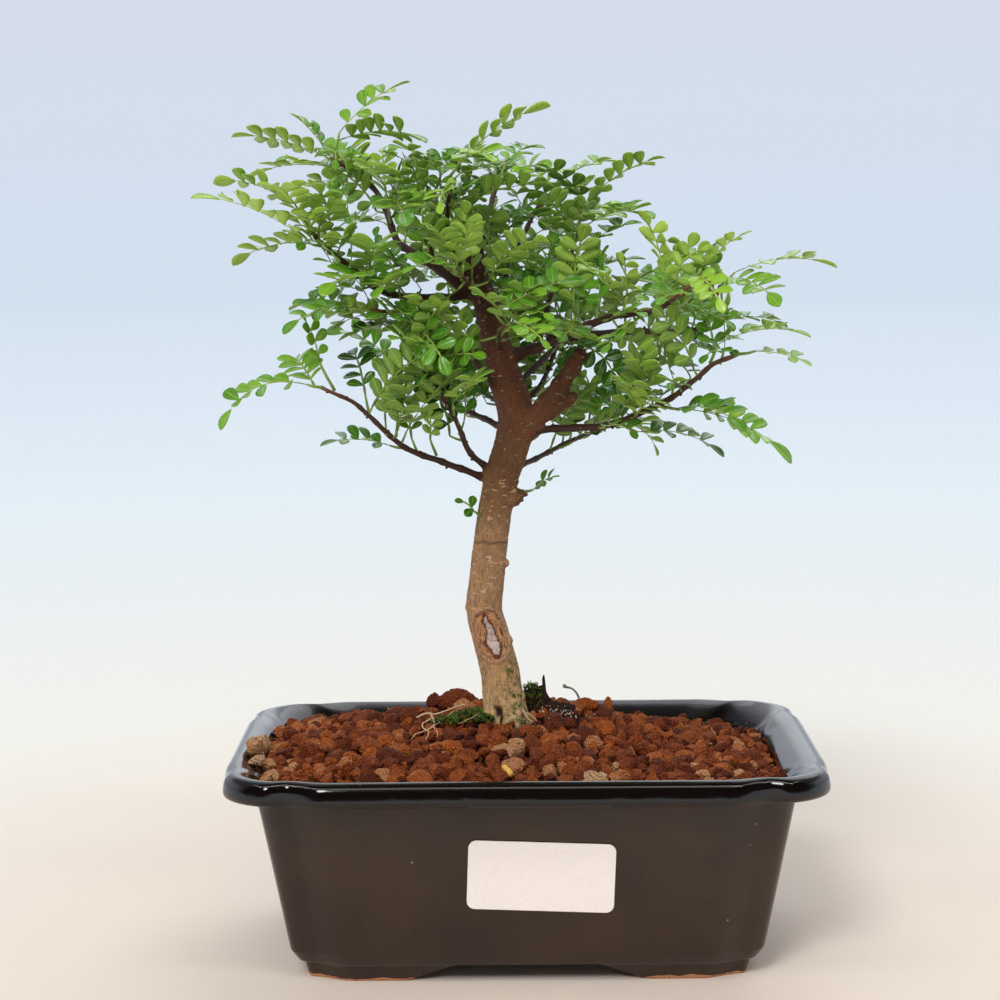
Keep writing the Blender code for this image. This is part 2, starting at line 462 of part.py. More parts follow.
def frond_blade(base, tip, roll, pairs, arch, stem_start=None, petiole=True):
    """The blade of a frond as one open folded sheet: a winged rib, pairs of obovate leaflets and one at the tip.
    With a stem start, the rib goes on below the base as the shoot's own stem."""
    ahead, up, side, face = frond_frame(base, tip, roll)
    length = (tip - base).length
    spacing = 0.62 * length / (pairs - 0.2)
    size = min(8.0, max(3.6, 0.17 * length + 2.2))
    broad = min(0.86 * spacing, 0.68 * size)
    lean = math.radians(LEAFLET_LEAN)
    bm = bmesh.new()

    def point(forward, out):
        share = min(1.0, max(0.0, forward / length))
        lift = up * arch * 4 * share * (1 - share)
        return bm.verts.new(base + ahead * forward + lift + side * out + face * FOLD * abs(out))

    def leaflet(middle, way):
        outer = []
        for out, sideways in ((0.62 * size, -0.5 * broad), (size, 0.0), (0.66 * size, 0.5 * broad)):
            forward = middle + math.sin(lean) * out + math.cos(lean) * sideways
            outer.append(point(forward, way * (RACHIS + math.cos(lean) * out - math.sin(lean) * sideways)))
        return outer

    rib = []
    if stem_start:
        stem = (base - stem_start).normalized()
        bisector = (stem + ahead).normalized()
        mitre = (side - bisector * side.dot(bisector)).normalized()
        square = (mitre - stem * mitre.dot(stem)).normalized()
        rib.append([bm.verts.new(stem_start + square * way * RACHIS) for way in (-1, 1)])
        rib.append([bm.verts.new(base + mitre * way * 1.1 * RACHIS) for way in (-1, 1)])
    elif petiole:
        rib.append([point(0.0, way * RACHIS) for way in (-1, 1)])
    first = len(rib)
    middles = [0.17 * length + spacing * pair for pair in range(pairs)]
    for station in [middle + step for middle in middles for step in (-0.6, 0.6)]:
        rib.append([point(station, way * RACHIS) for way in (-1, 1)])
    for lower, upper in zip(rib, rib[1:]):
        bm.faces.new((lower[0], lower[1], upper[1], upper[0]))
    for pair, middle in enumerate(middles):
        back, front = rib[first + 2 * pair], rib[first + 2 * pair + 1]
        for column, way in ((0, -1), (1, 1)):
            ring = [back[column], *leaflet(middle, way), front[column]]
            bm.faces.new(ring if way == 1 else list(reversed(ring)))
    end = middles[-1] + 0.75 * spacing
    reach = length - end
    wide = 0.32 * min(size, 1.4 * reach)
    crown = [point(end + 0.55 * reach, wide), point(end + 0.9 * reach, 0.6 * wide),
             point(end + 0.9 * reach, -0.6 * wide), point(end + 0.55 * reach, -wide)]
    bm.faces.new([rib[-1][0], rib[-1][1], *crown])
    bmesh.ops.triangulate(bm, faces=bm.faces)
    bmesh.ops.recalc_face_normals(bm, faces=bm.faces)
    return bm


def thicken(bm, thickness):
    """Makes the open sheet a closed one of this thickness, half of it on each side."""
    bm.normal_update()
    for vert, shift in [(vert, vert.normal * thickness / 2) for vert in bm.verts]:
        vert.co += shift
    bmesh.ops.solidify(bm, geom=bm.faces[:], thickness=thickness)
    bmesh.ops.recalc_face_normals(bm, faces=bm.faces)
    return bm


def frond_tries(shoot, number, base, frond):
    """Where a frond may go: as planned first, then turned about its base by more and more."""
    x, y, z, roll, pairs, arch = frond
    chance = random.Random(f"{shoot} {number}")
    for attempt in range(TRIES):
        axis = Vector([chance.gauss(0, 1) for _ in range(3)]).normalized()
        swing = Matrix.Rotation(math.radians(1.1 * attempt), 3, axis)
        tip = base + swing @ (Vector((x, y, z)) - base)
        turned = roll + chance.uniform(-1.0, 1.0) * attempt
        if abs(tip.y) < 62.5 and abs(tip.x) < 95.5:
            yield tip, turned, pairs, arch


def seat_stem(start, end, wood):
    """Draws a stem's start back along it until the stem just clears the wood."""
    ahead = (end - start).normalized()
    across = ahead.orthogonal().normalized() * STEM_RADIUS
    rim = [Matrix.Rotation(math.tau * step / 8, 3, ahead) @ across for step in range(8)]
    out = (end - start).length - 1.0
    while out > 0 and min(wood.find_nearest(start + ahead * out + spoke)[3] for spoke in rim) > GAP:
        out -= 0.05
    return start + ahead * (out + 0.05)


def rod_tree(start, end, radius):
    bm = bmesh.new()
    turn = (end - start).to_track_quat("Z", "Y").to_matrix().to_4x4()
    bmesh.ops.create_cone(bm, cap_ends=True, segments=6, radius1=radius, radius2=radius,
                          depth=(end - start).length, matrix=Matrix.Translation((start + end) / 2) @ turn)
    tree = BVHTree.FromBMesh(bm)
    bm.free()
    return tree


def lay_stem(name, origin, planned, wood, taken):
    """A stem from the wood to its planned end, which moves a little where another shoot is in the way."""
    chance = random.Random(name)
    for attempt in range(TRIES):
        end = planned + Vector([chance.gauss(0, 1) for _ in range(3)]).normalized() * 0.12 * attempt
        start = seat_stem(origin, end, wood)
        crossed = rod_tree(start, end, STEM_RADIUS + GAP / 2).overlap(wood)
        tree = rod_tree(start, end, STEM_RADIUS + GAP)
        crossed = crossed or any(tree.overlap(other) for other in taken[1:])
        if (end - start).length > 2.5 and not crossed:
            return start, end
    raise ValueError("no room for the stem of " + name)


def make_shoot(name, parts, paths, wood, taken, leaf):
    """A green stem with its fronds, bent clear of the wood and of every shoot made before it."""
    branch, part, planned, fronds = SHOOTS[name]
    start, end = lay_stem(name, along(paths[branch], part)[0], Vector(planned), wood, taken)
    pieces, own = [], []
    for number, frond in enumerate(fronds):
        base = end.lerp(start, min(0.6, 2.6 * number / (end - start).length))
        stem_start = None if number else start
        for tip, roll, pairs, arch in frond_tries(name, number, base, frond):
            leaflets = thicken(frond_blade(base, tip, roll, pairs, arch, petiole=False), BLADE + 2 * GAP)
            whole = thicken(frond_blade(base, tip, roll, pairs, arch), BLADE + 2 * GAP)
            crossed = any(BVHTree.FromBMesh(whole).overlap(other) for other in taken)
            crossed = crossed or any(BVHTree.FromBMesh(leaflets).overlap(other) for other in own)
            leaflets.free()
            whole.free()
            if not crossed:
                break
        else:
            print("no room for frond", number, "of", name)
            continue
        bm = thicken(frond_blade(base, tip, roll, pairs, arch, stem_start), BLADE)
        own.append(BVHTree.FromBMesh(bm))
        pieces.append(add_mesh(name if not pieces else name + "_frond", bm, parts, leaf))
    taken += own + [rod_tree(start, end, STEM_RADIUS)]
    return fuse(pieces)


def tree_of(thing):
    """The object's mesh, in millimetres, for measuring to it."""
    bm = bmesh.new()
    bm.from_mesh(thing.data)
    bmesh.ops.scale(bm, verts=bm.verts, vec=(1 / MM, 1 / MM, 1 / MM))
    tree = BVHTree.FromBMesh(bm)
    bm.free()
    return tree


def main():
    clear_scene()
    parts = make_collection("chinese_pepper_bonsai")
    cutters = make_collection("cutters", hidden=True)
    make_pot(parts, cutters)
    make_screens(parts)
    make_soil(parts, cutters)
    make_sticker(parts)
    paths = {name: with_radii(*wood) for name, wood in BRANCHES.items()}
    paths["trunk"] = TRUNK
    wood = tree_of(make_trunk(parts, paths))
    taken = [wood]
    leaf = make_material("pepper_leaf", (0.10, 0.24, 0.035), 0.35)
    for name in SHOOTS:
        make_shoot(name, parts, paths, wood, taken, leaf)


main()
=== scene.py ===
import math
import random

import bmesh
import bpy
import numpy as np
from mathutils import Matrix, Vector, noise


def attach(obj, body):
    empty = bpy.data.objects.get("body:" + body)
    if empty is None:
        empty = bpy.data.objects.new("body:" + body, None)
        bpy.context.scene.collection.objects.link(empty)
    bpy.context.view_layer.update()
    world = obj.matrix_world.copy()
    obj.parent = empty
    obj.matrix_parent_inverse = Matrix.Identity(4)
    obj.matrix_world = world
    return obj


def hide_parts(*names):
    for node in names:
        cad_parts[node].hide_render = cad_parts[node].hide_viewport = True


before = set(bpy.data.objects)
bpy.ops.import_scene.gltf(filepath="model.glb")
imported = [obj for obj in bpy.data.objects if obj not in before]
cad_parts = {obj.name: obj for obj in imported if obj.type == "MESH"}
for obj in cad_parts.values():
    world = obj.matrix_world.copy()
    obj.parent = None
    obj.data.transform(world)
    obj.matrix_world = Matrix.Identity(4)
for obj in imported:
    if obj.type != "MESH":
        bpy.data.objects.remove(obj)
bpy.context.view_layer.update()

# Chinese pepper bonsai in its glazed pot. Sizes are in millimetres, and mm turns them to metres.
mm = 0.001
noise.seed_set(6)  # otherwise the clock moves the vector noise a little on each run
print("frame loaded:", len(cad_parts), "nodes")


def pickOnly(thing):
    bpy.ops.object.select_all(action="DESELECT")
    thing.select_set(True)
    bpy.context.view_layer.objects.active = thing
    return thing


def addShape(primitive, **settings):  # with nothing else selected
    bpy.ops.object.select_all(action="DESELECT")
    primitive(**settings)
    return bpy.context.object


def applyAll(thing):  # its place and its modifiers go into its mesh
    pickOnly(thing)
    bpy.ops.object.transform_apply(location=True, rotation=True, scale=True)
    for modifier in list(thing.modifiers):
        bpy.ops.object.modifier_apply(modifier=modifier.name)
    return thing


def joinAll(things):
    pickOnly(things[0])
    for thing in things[1:]:
        thing.select_set(True)
    bpy.ops.object.join()
    return things[0]


def meshThing(name, points, faces):
    mesh = bpy.data.meshes.new(name)
    mesh.from_pydata((np.asarray(points, float) * mm).tolist(), [], faces)
    mesh.update()
    thing = bpy.data.objects.new(name, mesh)
    bpy.context.scene.collection.objects.link(thing)
    return thing


def faceOutwards(thing):
    pickOnly(thing)
    bpy.ops.object.mode_set(mode="EDIT")
    bpy.ops.mesh.select_all(action="SELECT")
    bpy.ops.mesh.remove_doubles(threshold=0.00001)
    bpy.ops.mesh.normals_make_consistent(inside=False)
    bpy.ops.object.mode_set(mode="OBJECT")
    return thing


def smoothShade(thing, angle=40):
    pickOnly(thing)
    bpy.ops.object.shade_smooth_by_angle(angle=math.radians(angle))
    return thing


def dress(thing, materials, replaced=()):
    for material in materials:
        thing.data.materials.append(material)
    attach(thing, "root")
    if replaced:
        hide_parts(*replaced)
    return thing


def pointsOf(thing):
    flat = np.empty(len(thing.data.vertices) * 3)
    thing.data.vertices.foreach_get("co", flat)
    return flat.reshape(-1, 3) / mm


def setPoints(thing, points):
    thing.data.vertices.foreach_set("co", (points * mm).ravel())
    thing.data.update()


def setNumber(thing, name, values):  # one number for each vertex
    store = thing.data.attributes.new(name, "FLOAT", "POINT")
    store.data.foreach_set("value", np.asarray(values, np.float32))


def easing(value, low, high):
    share = np.clip((np.asarray(value, float) - low) / (high - low), 0, 1)
    return share * share * (3 - 2 * share)


def smoothPath(points, pitch):  # even points on a smooth curve through rows of numbers that start with x, y, z
    rows = np.array(points, float)
    rows = np.vstack([2 * rows[0] - rows[1], rows, 2 * rows[-1] - rows[-2]])
    out = []
    for at in range(1, len(rows) - 2):
        before, here, after, beyond = rows[at - 1:at + 3]
        span = max(np.linalg.norm((after - here)[:3]), 1e-6)
        startTangent = (after - before) * span / max(np.linalg.norm((after - before)[:3]), 1e-6)
        endTangent = (beyond - here) * span / max(np.linalg.norm((beyond - here)[:3]), 1e-6)
        steps = max(1, round(span / pitch))
        for step in range(steps):
            t = step / steps
            out.append((2 * t ** 3 - 3 * t ** 2 + 1) * here + (t ** 3 - 2 * t ** 2 + t) * startTangent
                       + (3 * t ** 2 - 2 * t ** 3) * after + (t ** 3 - t ** 2) * endTangent)
    out.append(rows[-2])
    return np.array(out)


# A batch gathers copies of modelled shapes for one piece.
def newBatch():
    return {"points": [], "faces": [], "slots": [], "uvs": [], "tones": [], "count": 0}


def addCopy(batch, shape, place, tone=0.5):
    moved = shape["points"] @ place[:3, :3].T + place[:3, 3]
    start = batch["count"]
    batch["points"].append(moved)
    batch["faces"].extend([tuple(start + corner for corner in face) for face in shape["faces"]])
    batch["slots"].extend(shape["slots"])
    batch["uvs"].append(shape["uvs"])
    batch["tones"].append(np.full(len(moved), tone))
    batch["count"] += len(moved)


def batchThing(name, batch):
    thing = meshThing(name, np.vstack(batch["points"]), batch["faces"])
    mesh = thing.data
    mesh.polygons.foreach_set("material_index", batch["slots"])
    layer = mesh.uv_layers.new(name="UVMap")
    layer.data.foreach_set("uv", np.vstack(batch["uvs"]).ravel())
    mesh.polygons.foreach_set("use_smooth", [True] * len(mesh.polygons))
    setNumber(thing, "tone", np.concatenate(batch["tones"]))
    return thing


def tubeFaces(levels, around):  # a closed tube whose points run level by level
    faces = [tuple(reversed(range(around)))]
    for level in range(levels - 1):
        for here in range(around):
            after = (here + 1) % around
            faces.append((level * around + here, level * around + after,
                          (level + 1) * around + after, (level + 1) * around + here))
    return faces + [tuple(range((levels - 1) * around, levels * around))]


def shapeOf(thing):  # the arrays of a modelled shape, which is then taken away
    mesh = thing.data
    layer = mesh.uv_layers.active
    loops = [layer.data[loop].uv[:] if layer else (0, 0) for face in mesh.polygons for loop in face.loop_indices]
    shape = {"points": pointsOf(thing), "faces": [tuple(face.vertices) for face in mesh.polygons],
             "slots": [face.material_index for face in mesh.polygons], "uvs": np.array(loops, float)}
    bpy.data.objects.remove(thing)
    return shape


def placement(origin, xAxis, yAxis, zAxis):
    place = np.eye(4)
    place[:3, 0], place[:3, 1], place[:3, 2], place[:3, 3] = xAxis, yAxis, zAxis, origin
    return place


def srgb(text):  # an sRGB hex value as a linear colour
    parts = [int(text[at:at + 2], 16) / 255 for at in (0, 2, 4)]
    return (*[c / 12.92 if c <= 0.04045 else ((c + 0.055) / 1.055) ** 2.4 for c in parts], 1.0)


def addNode(tree, kind, inputs=None, **settings):
    made = tree.nodes.new("ShaderNode" + kind)
    for name, value in settings.items():
        if name == "stops":
            while len(made.color_ramp.elements) < len(value):
                made.color_ramp.elements.new(0.5)
            for element, (place, shade) in zip(made.color_ramp.elements, value):
                element.position, element.color = place, srgb(shade)
        else:
            setattr(made, name, value)
    for name, value in (inputs or {}).items():
        if isinstance(value, bpy.types.Node):
            value = value.outputs[0]
        if isinstance(value, bpy.types.NodeSocket):
            tree.links.new(value, made.inputs[name])
        else:
            made.inputs[name].default_value = value
    return made


def newMaterial(name, **plain):  # with its tree and the point that is being shaded
    material = bpy.data.materials.new(name)
    material.use_nodes = True
    tree = material.node_tree
    for socket, value in plain.items():
        tree.nodes["Principled BSDF"].inputs[socket].default_value = value
    return material, tree, addNode(tree, "TexCoord").outputs["Object"]


def finished(material, colour, bump=None, rough=None):
    tree = material.node_tree
    for made, socket in ((colour, "Base Color"), (bump, "Normal"), (rough, "Roughness")):
        if made:
            tree.links.new(made.outputs[0], tree.nodes["Principled BSDF"].inputs[socket])
    return material


def tonedColour(tree, grain, sway, stops):  # shades by the tone that each copy carries, swayed by a grain
    tone = addNode(tree, "Attribute", attribute_name="tone").outputs["Fac"]
    shift = addNode(tree, "Math", {0: grain, 1: sway, 2: -sway / 2}, operation="MULTIPLY_ADD")
    mixed = addNode(tree, "Math", {0: tone, 1: shift}, operation="ADD")
    return addNode(tree, "ValToRGB", {0: mixed}, stops=stops)


def glazedStoneware():
    # Stoneware dipped in an iron glaze and fired: glassy and nearly black, browner in clouds, with pinholes,
    # and a bare orange-brown clay edge at the feet, where the glaze was wiped off.
    material, tree, place = newMaterial("glazedStoneware", IOR=1.52)
    height = addNode(tree, "SeparateXYZ", {0: place}).outputs["Z"]
    cloud = addNode(tree, "TexNoise", {"Vector": place, "Scale": 38.0, "Detail": 4.0})  # 26 mm clouds
    glaze = addNode(tree, "ValToRGB", {0: cloud}, stops=[(0.35, "27180E"), (0.65, "352213")])
    pinholes = addNode(tree, "TexVoronoi", {"Vector": place, "Scale": 150.0})  # one in 7 mm
    dot = addNode(tree, "Math", {0: pinholes.outputs["Distance"], 1: 0.045}, operation="LESS_THAN")
    some = addNode(tree, "SeparateXYZ", {0: pinholes.outputs["Color"]}).outputs["X"]
    rare = addNode(tree, "Math", {0: some, 1: 0.72}, operation="GREATER_THAN")
    speck = addNode(tree, "Math", {0: dot, 1: rare}, operation="MULTIPLY")
    rim = addNode(tree, "MapRange", {0: height, 1: 0.0545, 2: 0.0560})  # the lip is painted blacker: painted shade for the dark surroundings that it reflects
    lipPaintedBlacker = addNode(tree, "MixRGB", {0: rim, 1: glaze, 2: srgb("100A09")})
    specked = addNode(tree, "MixRGB", {0: speck, 1: lipPaintedBlacker, 2: srgb("8C847A")})
    waver = addNode(tree, "TexNoise", {"Vector": place, "Scale": 130.0, "Detail": 3.0})  # 8 mm waves of the edge
    line = addNode(tree, "Math", {0: waver, 1: 0.0036, 2: -0.0008}, operation="MULTIPLY_ADD")
    bare = addNode(tree, "Math", {0: height, 1: line}, operation="LESS_THAN")
    grit = addNode(tree, "TexNoise", {"Vector": place, "Scale": 1500.0, "Detail": 2.0})  # 0.7 mm grit
    clay = addNode(tree, "ValToRGB", {0: grit}, stops=[(0.3, "A56A48"), (0.7, "CC9468")])
    colour = addNode(tree, "MixRGB", {0: bare, 1: specked, 2: clay})
    rough = addNode(tree, "MapRange", {0: bare, 3: 0.10, 4: 0.85})
    ripple = addNode(tree, "TexNoise", {"Vector": place, "Scale": 210.0, "Detail": 2.0})  # 5 mm orange peel
    bump = addNode(tree, "Bump", {"Height": ripple, "Strength": 0.10, "Distance": 0.0006})
    return finished(material, colour, bump, rough)


def mouldedMesh():
    # Polyethylene netting, moulded: black, waxy and matt.
    material, tree, place = newMaterial("mouldedPolyethylene", Roughness=0.55, IOR=1.5)
    dust = addNode(tree, "TexNoise", {"Vector": place, "Scale": 400.0, "Detail": 4.0})  # 2.5 mm dusty patches
    colour = addNode(tree, "ValToRGB", {0: dust}, stops=[(0.4, "161616"), (0.7, "3A2A22")])
    return finished(material, colour)


def bakedClay():
    # Akadama, baked volcanic clay broken into granules: dull, porous, red-brown, mottled in fine crumbs.
    material, tree, place = newMaterial("bakedAkadamaClay", Roughness=0.95, IOR=1.45)
    crumb = addNode(tree, "TexNoise", {"Vector": place, "Scale": 800.0, "Detail": 6.0, "Roughness": 0.75})  # 1.2 mm
    colour = tonedColour(tree, crumb, 0.55, [
        (0.05, "260E04"), (0.32, "7E340E"), (0.56, "C26424"), (0.78, "E0AC7C"), (0.95, "F4DEC4")])
    pores = addNode(tree, "TexVoronoi", {"Vector": place, "Scale": 1500.0})  # 0.7 mm pores
    both = addNode(tree, "Math", {0: crumb, 1: pores.outputs["Distance"]}, operation="ADD")
    bump = addNode(tree, "Bump", {"Height": both, "Strength": 1.0, "Distance": 0.0014})
    return finished(material, colour, bump)


def pepperBark():
    # Bark of Chinese pepper: tan and rubbed at the root, grey-brown higher up and red-brown under the crown,
    # with fine upright fissures, pale dashes of lenticels and green algae low down. The healed cut has an
    # orange-brown roll of callus round bleached dead wood.
    material, tree, place = newMaterial("pepperBark", Roughness=0.82, IOR=1.45)
    parts = addNode(tree, "SeparateXYZ", {0: place})
    height = parts.outputs["Z"]
    patches = addNode(tree, "TexNoise", {"Vector": place, "Scale": 110.0, "Detail": 4.0})  # 9 mm patches
    wander = addNode(tree, "Math", {0: patches, 1: 0.03, 2: -0.015}, operation="MULTIPLY_ADD")
    level = addNode(tree, "Math", {0: height, 1: wander}, operation="ADD")
    share = addNode(tree, "MapRange", {0: level, 1: 0.066, 2: 0.206})
    aged = addNode(tree, "ValToRGB", {0: share}, stops=[
        (0.0, "FFE2AC"), (0.10, "F8C48A"), (0.26, "DCA87A"), (0.42, "C8986C"), (0.54, "A07248"), (0.68, "865232"),
        (0.85, "703F28"), (1.0, "5C3822")])
    long = addNode(tree, "Mapping", {"Vector": place, "Scale": (2400.0, 2400.0, 420.0)})  # 0.4 by 2.4 mm fissures
    fissure = addNode(tree, "TexNoise", {"Vector": long, "Scale": 1.0, "Detail": 7.0, "Roughness": 0.8})
    # The fissures are darkened: partly the bark's own darker colour in the cracks, partly painted shade in them.
    shade = addNode(tree, "ValToRGB", {0: fissure}, stops=[(0.31, "36281E"), (0.42, "C8B8A6"), (0.50, "FFFFFF")])
    fissuresWithPaintedShade = addNode(tree, "MixRGB", {0: 0.9, 1: aged, 2: shade}, blend_type="MULTIPLY")
    blotch = addNode(tree, "TexNoise", {"Vector": place, "Scale": 330.0, "Detail": 6.0, "Roughness": 0.7})  # 3 mm
    greyer = addNode(tree, "MapRange", {0: blotch, 1: 0.46, 2: 0.66, 4: 0.45})
    dull = addNode(tree, "MixRGB", {0: greyer, 1: fissuresWithPaintedShade, 2: srgb("6B5B4A")})
    wide = addNode(tree, "Mapping", {"Vector": place, "Scale": (470.0, 470.0, 1100.0)})  # 2.1 by 0.9 mm dashes
    spread = addNode(tree, "TexNoise", {"Vector": wide, "Scale": 1.0, "Detail": 2.0})
    often = addNode(tree, "MapRange", {0: height, 1: 0.150, 2: 0.122, 4: 0.045})  # they are closer low down
    crowded = addNode(tree, "Math", {0: spread, 1: often}, operation="ADD")
    lenticel = addNode(tree, "MapRange", {0: crowded, 1: 0.64, 2: 0.68})
    faded = addNode(tree, "MapRange", {0: height, 1: 0.130, 2: 0.175, 3: 0.90, 4: 0.45})
    paleness = addNode(tree, "Math", {0: lenticel, 1: faded}, operation="MULTIPLY")
    dashed = addNode(tree, "MixRGB", {0: paleness, 1: dull, 2: srgb("F4C8A0")})
    offRing = addNode(tree, "Math", {0: patches, 1: 0.005, 2: -0.1271}, operation="MULTIPLY_ADD")
    ringHeight = addNode(tree, "Math", {0: height, 1: offRing}, operation="ADD")
    ringAway = addNode(tree, "Math", {0: ringHeight}, operation="ABSOLUTE")
    ringDark = addNode(tree, "MapRange", {0: ringAway, 1: 0.0006, 2: 0.0002, 4: 0.6})  # an old growth ring
    ringed = addNode(tree, "MixRGB", {0: ringDark, 1: dashed, 2: srgb("5A3826")})
    lowDown = addNode(tree, "MapRange", {0: height, 1: 0.094, 2: 0.086})
    onRight = addNode(tree, "MapRange", {0: parts.outputs["X"], 1: -0.0085, 2: -0.0045, 3: 0.15})
    film = addNode(tree, "TexNoise", {"Vector": place, "Scale": 520.0, "Detail": 5.0, "Roughness": 0.7})  # 2 mm
    filmMask = addNode(tree, "MapRange", {0: film, 1: 0.46, 2: 0.60})
    spots = addNode(tree, "Math", {0: lowDown, 1: filmMask}, operation="MULTIPLY")
    algae = addNode(tree, "Math", {0: spots, 1: onRight}, operation="MULTIPLY")
    green = addNode(tree, "MixRGB", {0: algae, 1: ringed, 2: srgb("606A1E")})
    youth = addNode(tree, "Attribute", attribute_name="young").outputs["Fac"]
    shoot = addNode(tree, "MixRGB", {0: youth, 1: green, 2: srgb("4A2A1C")})
    # Darker for rot and the knot's broken end, with painted shade in the split and where the trunk meets the soil.
    hollow = addNode(tree, "Attribute", attribute_name="hollow").outputs["Fac"]
    rotAndShadeMixed = addNode(tree, "MixRGB", {0: hollow, 1: shoot, 2: srgb("3A2214")})
    healed = addNode(tree, "Attribute", attribute_name="healed").outputs["Fac"]
    grain = addNode(tree, "Math", {0: fissure, 1: 0.36, 2: -0.18}, operation="MULTIPLY_ADD")
    stage = addNode(tree, "Math", {0: healed, 1: grain}, operation="ADD")
    callus = addNode(tree, "ValToRGB", {0: stage}, stops=[
        (0.08, "9C6846"), (0.26, "E4B088"), (0.38, "7E4C2C"), (0.48, "ECB482"), (0.62, "C07444"), (0.74, "563226"),
        (0.87, "B89484"), (0.92, "F0D4C8"), (1.0, "FCF0E8")])
    inScar = addNode(tree, "MapRange", {0: healed, 1: 0.04, 2: 0.16})
    colour = addNode(tree, "MixRGB", {0: inScar, 1: rotAndShadeMixed, 2: callus})
    relief = addNode(tree, "Math", {0: fissure, 1: lenticel}, operation="ADD")
    bump = addNode(tree, "Bump", {"Height": relief, "Strength": 1.0, "Distance": 0.0010})
    return finished(material, colour, bump)


def youngBark():
    # Bark of young branches: dark red-brown, smoother and a little shiny, with pale pores.
    material, tree, place = newMaterial("youngPepperBark", Roughness=0.55, IOR=1.45)
    flecks = addNode(tree, "TexNoise", {"Vector": place, "Scale": 700.0, "Detail": 4.0})  # 1.4 mm flecks
    colour = tonedColour(tree, flecks, 0.5, [
        (0.0, "26160F"), (0.35, "42261A"), (0.6, "6E4028"), (0.8, "8A6A34"), (1.0, "7F8A3C")])
    bump = addNode(tree, "Bump", {"Height": flecks, "Strength": 0.5, "Distance": 0.0003})
    return finished(material, colour, bump)


def leafSurface(name, shades, vein, rough):
    # A living pepper leaf: waxy above and duller beneath, with a pale midrib. Its tone runs from old growth in
    # painted shade to new growth in painted light.
    material, tree, place = newMaterial(name, Roughness=rough, IOR=1.45)
    mottle = addNode(tree, "TexNoise", {"Vector": place, "Scale": 420.0, "Detail": 3.0})  # 2.4 mm mottle
    blade = tonedColour(tree, mottle, 0.3, list(zip((0.0, 0.25, 0.5, 0.75, 1.0), shades)))
    across = addNode(tree, "SeparateXYZ", {0: place.node.outputs["UV"]}).outputs["Y"]
    off = addNode(tree, "Math", {0: across, 1: 0.5}, operation="SUBTRACT")
    far = addNode(tree, "Math", {0: off}, operation="ABSOLUTE")
    rib = addNode(tree, "MapRange", {0: far, 1: 0.055, 2: 0.015, 4: 0.5})
    colour = addNode(tree, "MixRGB", {0: rib, 1: blade, 2: srgb(vein)})
    swell = addNode(tree, "TexNoise", {"Vector": place, "Scale": 300.0, "Detail": 0.0})  # 3 mm soft swellings
    bump = addNode(tree, "Bump", {"Height": swell, "Strength": 0.30, "Distance": 0.0004})
    return finished(material, colour, bump)


def greenStem():
    # The winged rib of a leaf and the green stem under it: yellow-green, reddish where it is older.
    material, tree, place = newMaterial("greenPepperStem", Roughness=0.45, IOR=1.45)
    streak = addNode(tree, "TexNoise", {"Vector": place, "Scale": 500.0, "Detail": 3.0})  # 2 mm streaks
    colour = tonedColour(tree, streak, 0.3, [
        (0.0, "6A3826"), (0.2, "7E6A33"), (0.45, "6E8A38"), (0.8, "9DB24A"), (1.0, "B4C460")])
    return finished(material, colour)


def plainGrowth(name, low, high, size, rough=0.8):  # size of its grain in millimetres
    # Moss, rootlets and other scraps on the soil: two shades that follow the tone of each strand.
    material, tree, place = newMaterial(name, Roughness=rough, IOR=1.4)
    grain = addNode(tree, "TexNoise", {"Vector": place, "Scale": 1000.0 / size, "Detail": 3.0})
    colour = tonedColour(tree, grain, 0.5, [(0.1, low), (0.9, high)])
    bump = addNode(tree, "Bump", {"Height": grain, "Strength": 0.5, "Distance": 0.0003})
    return finished(material, colour, bump)


def stickerPaper():
    # Coated label paper: white with a faint pink cast, satin, with very fine fibres.
    material, tree, place = newMaterial("coatedPaper", Roughness=0.5, IOR=1.45)
    fibre = addNode(tree, "TexNoise", {"Vector": place, "Scale": 900.0, "Detail": 5.0})  # 1.1 mm, coarser than real
    colour = addNode(tree, "ValToRGB", {0: fibre}, stops=[(0.3, "FCF1EC"), (0.7, "FFF7F3")])
    bump = addNode(tree, "Bump", {"Height": fibre, "Strength": 0.12, "Distance": 0.0002})
    return finished(material, colour, bump)


glaze = glazedStoneware()
clay = bakedClay()
bark = pepperBark()
twigBark = youngBark()
leafTop = leafSurface("waxyLeafUpper", ["224A12", "386C16", "5A9224", "84B42E", "A6CA3C"], "A8C658", 0.24)
leafUnder = leafSurface("leafUnderside", ["4A6E24", "688C30", "88AC3E", "A4C44A", "BCD658"], "C6D880", 0.42)
stemGreen = greenStem()
leafKit = [leafTop, leafUnder, stemGreen]
print("materials made")


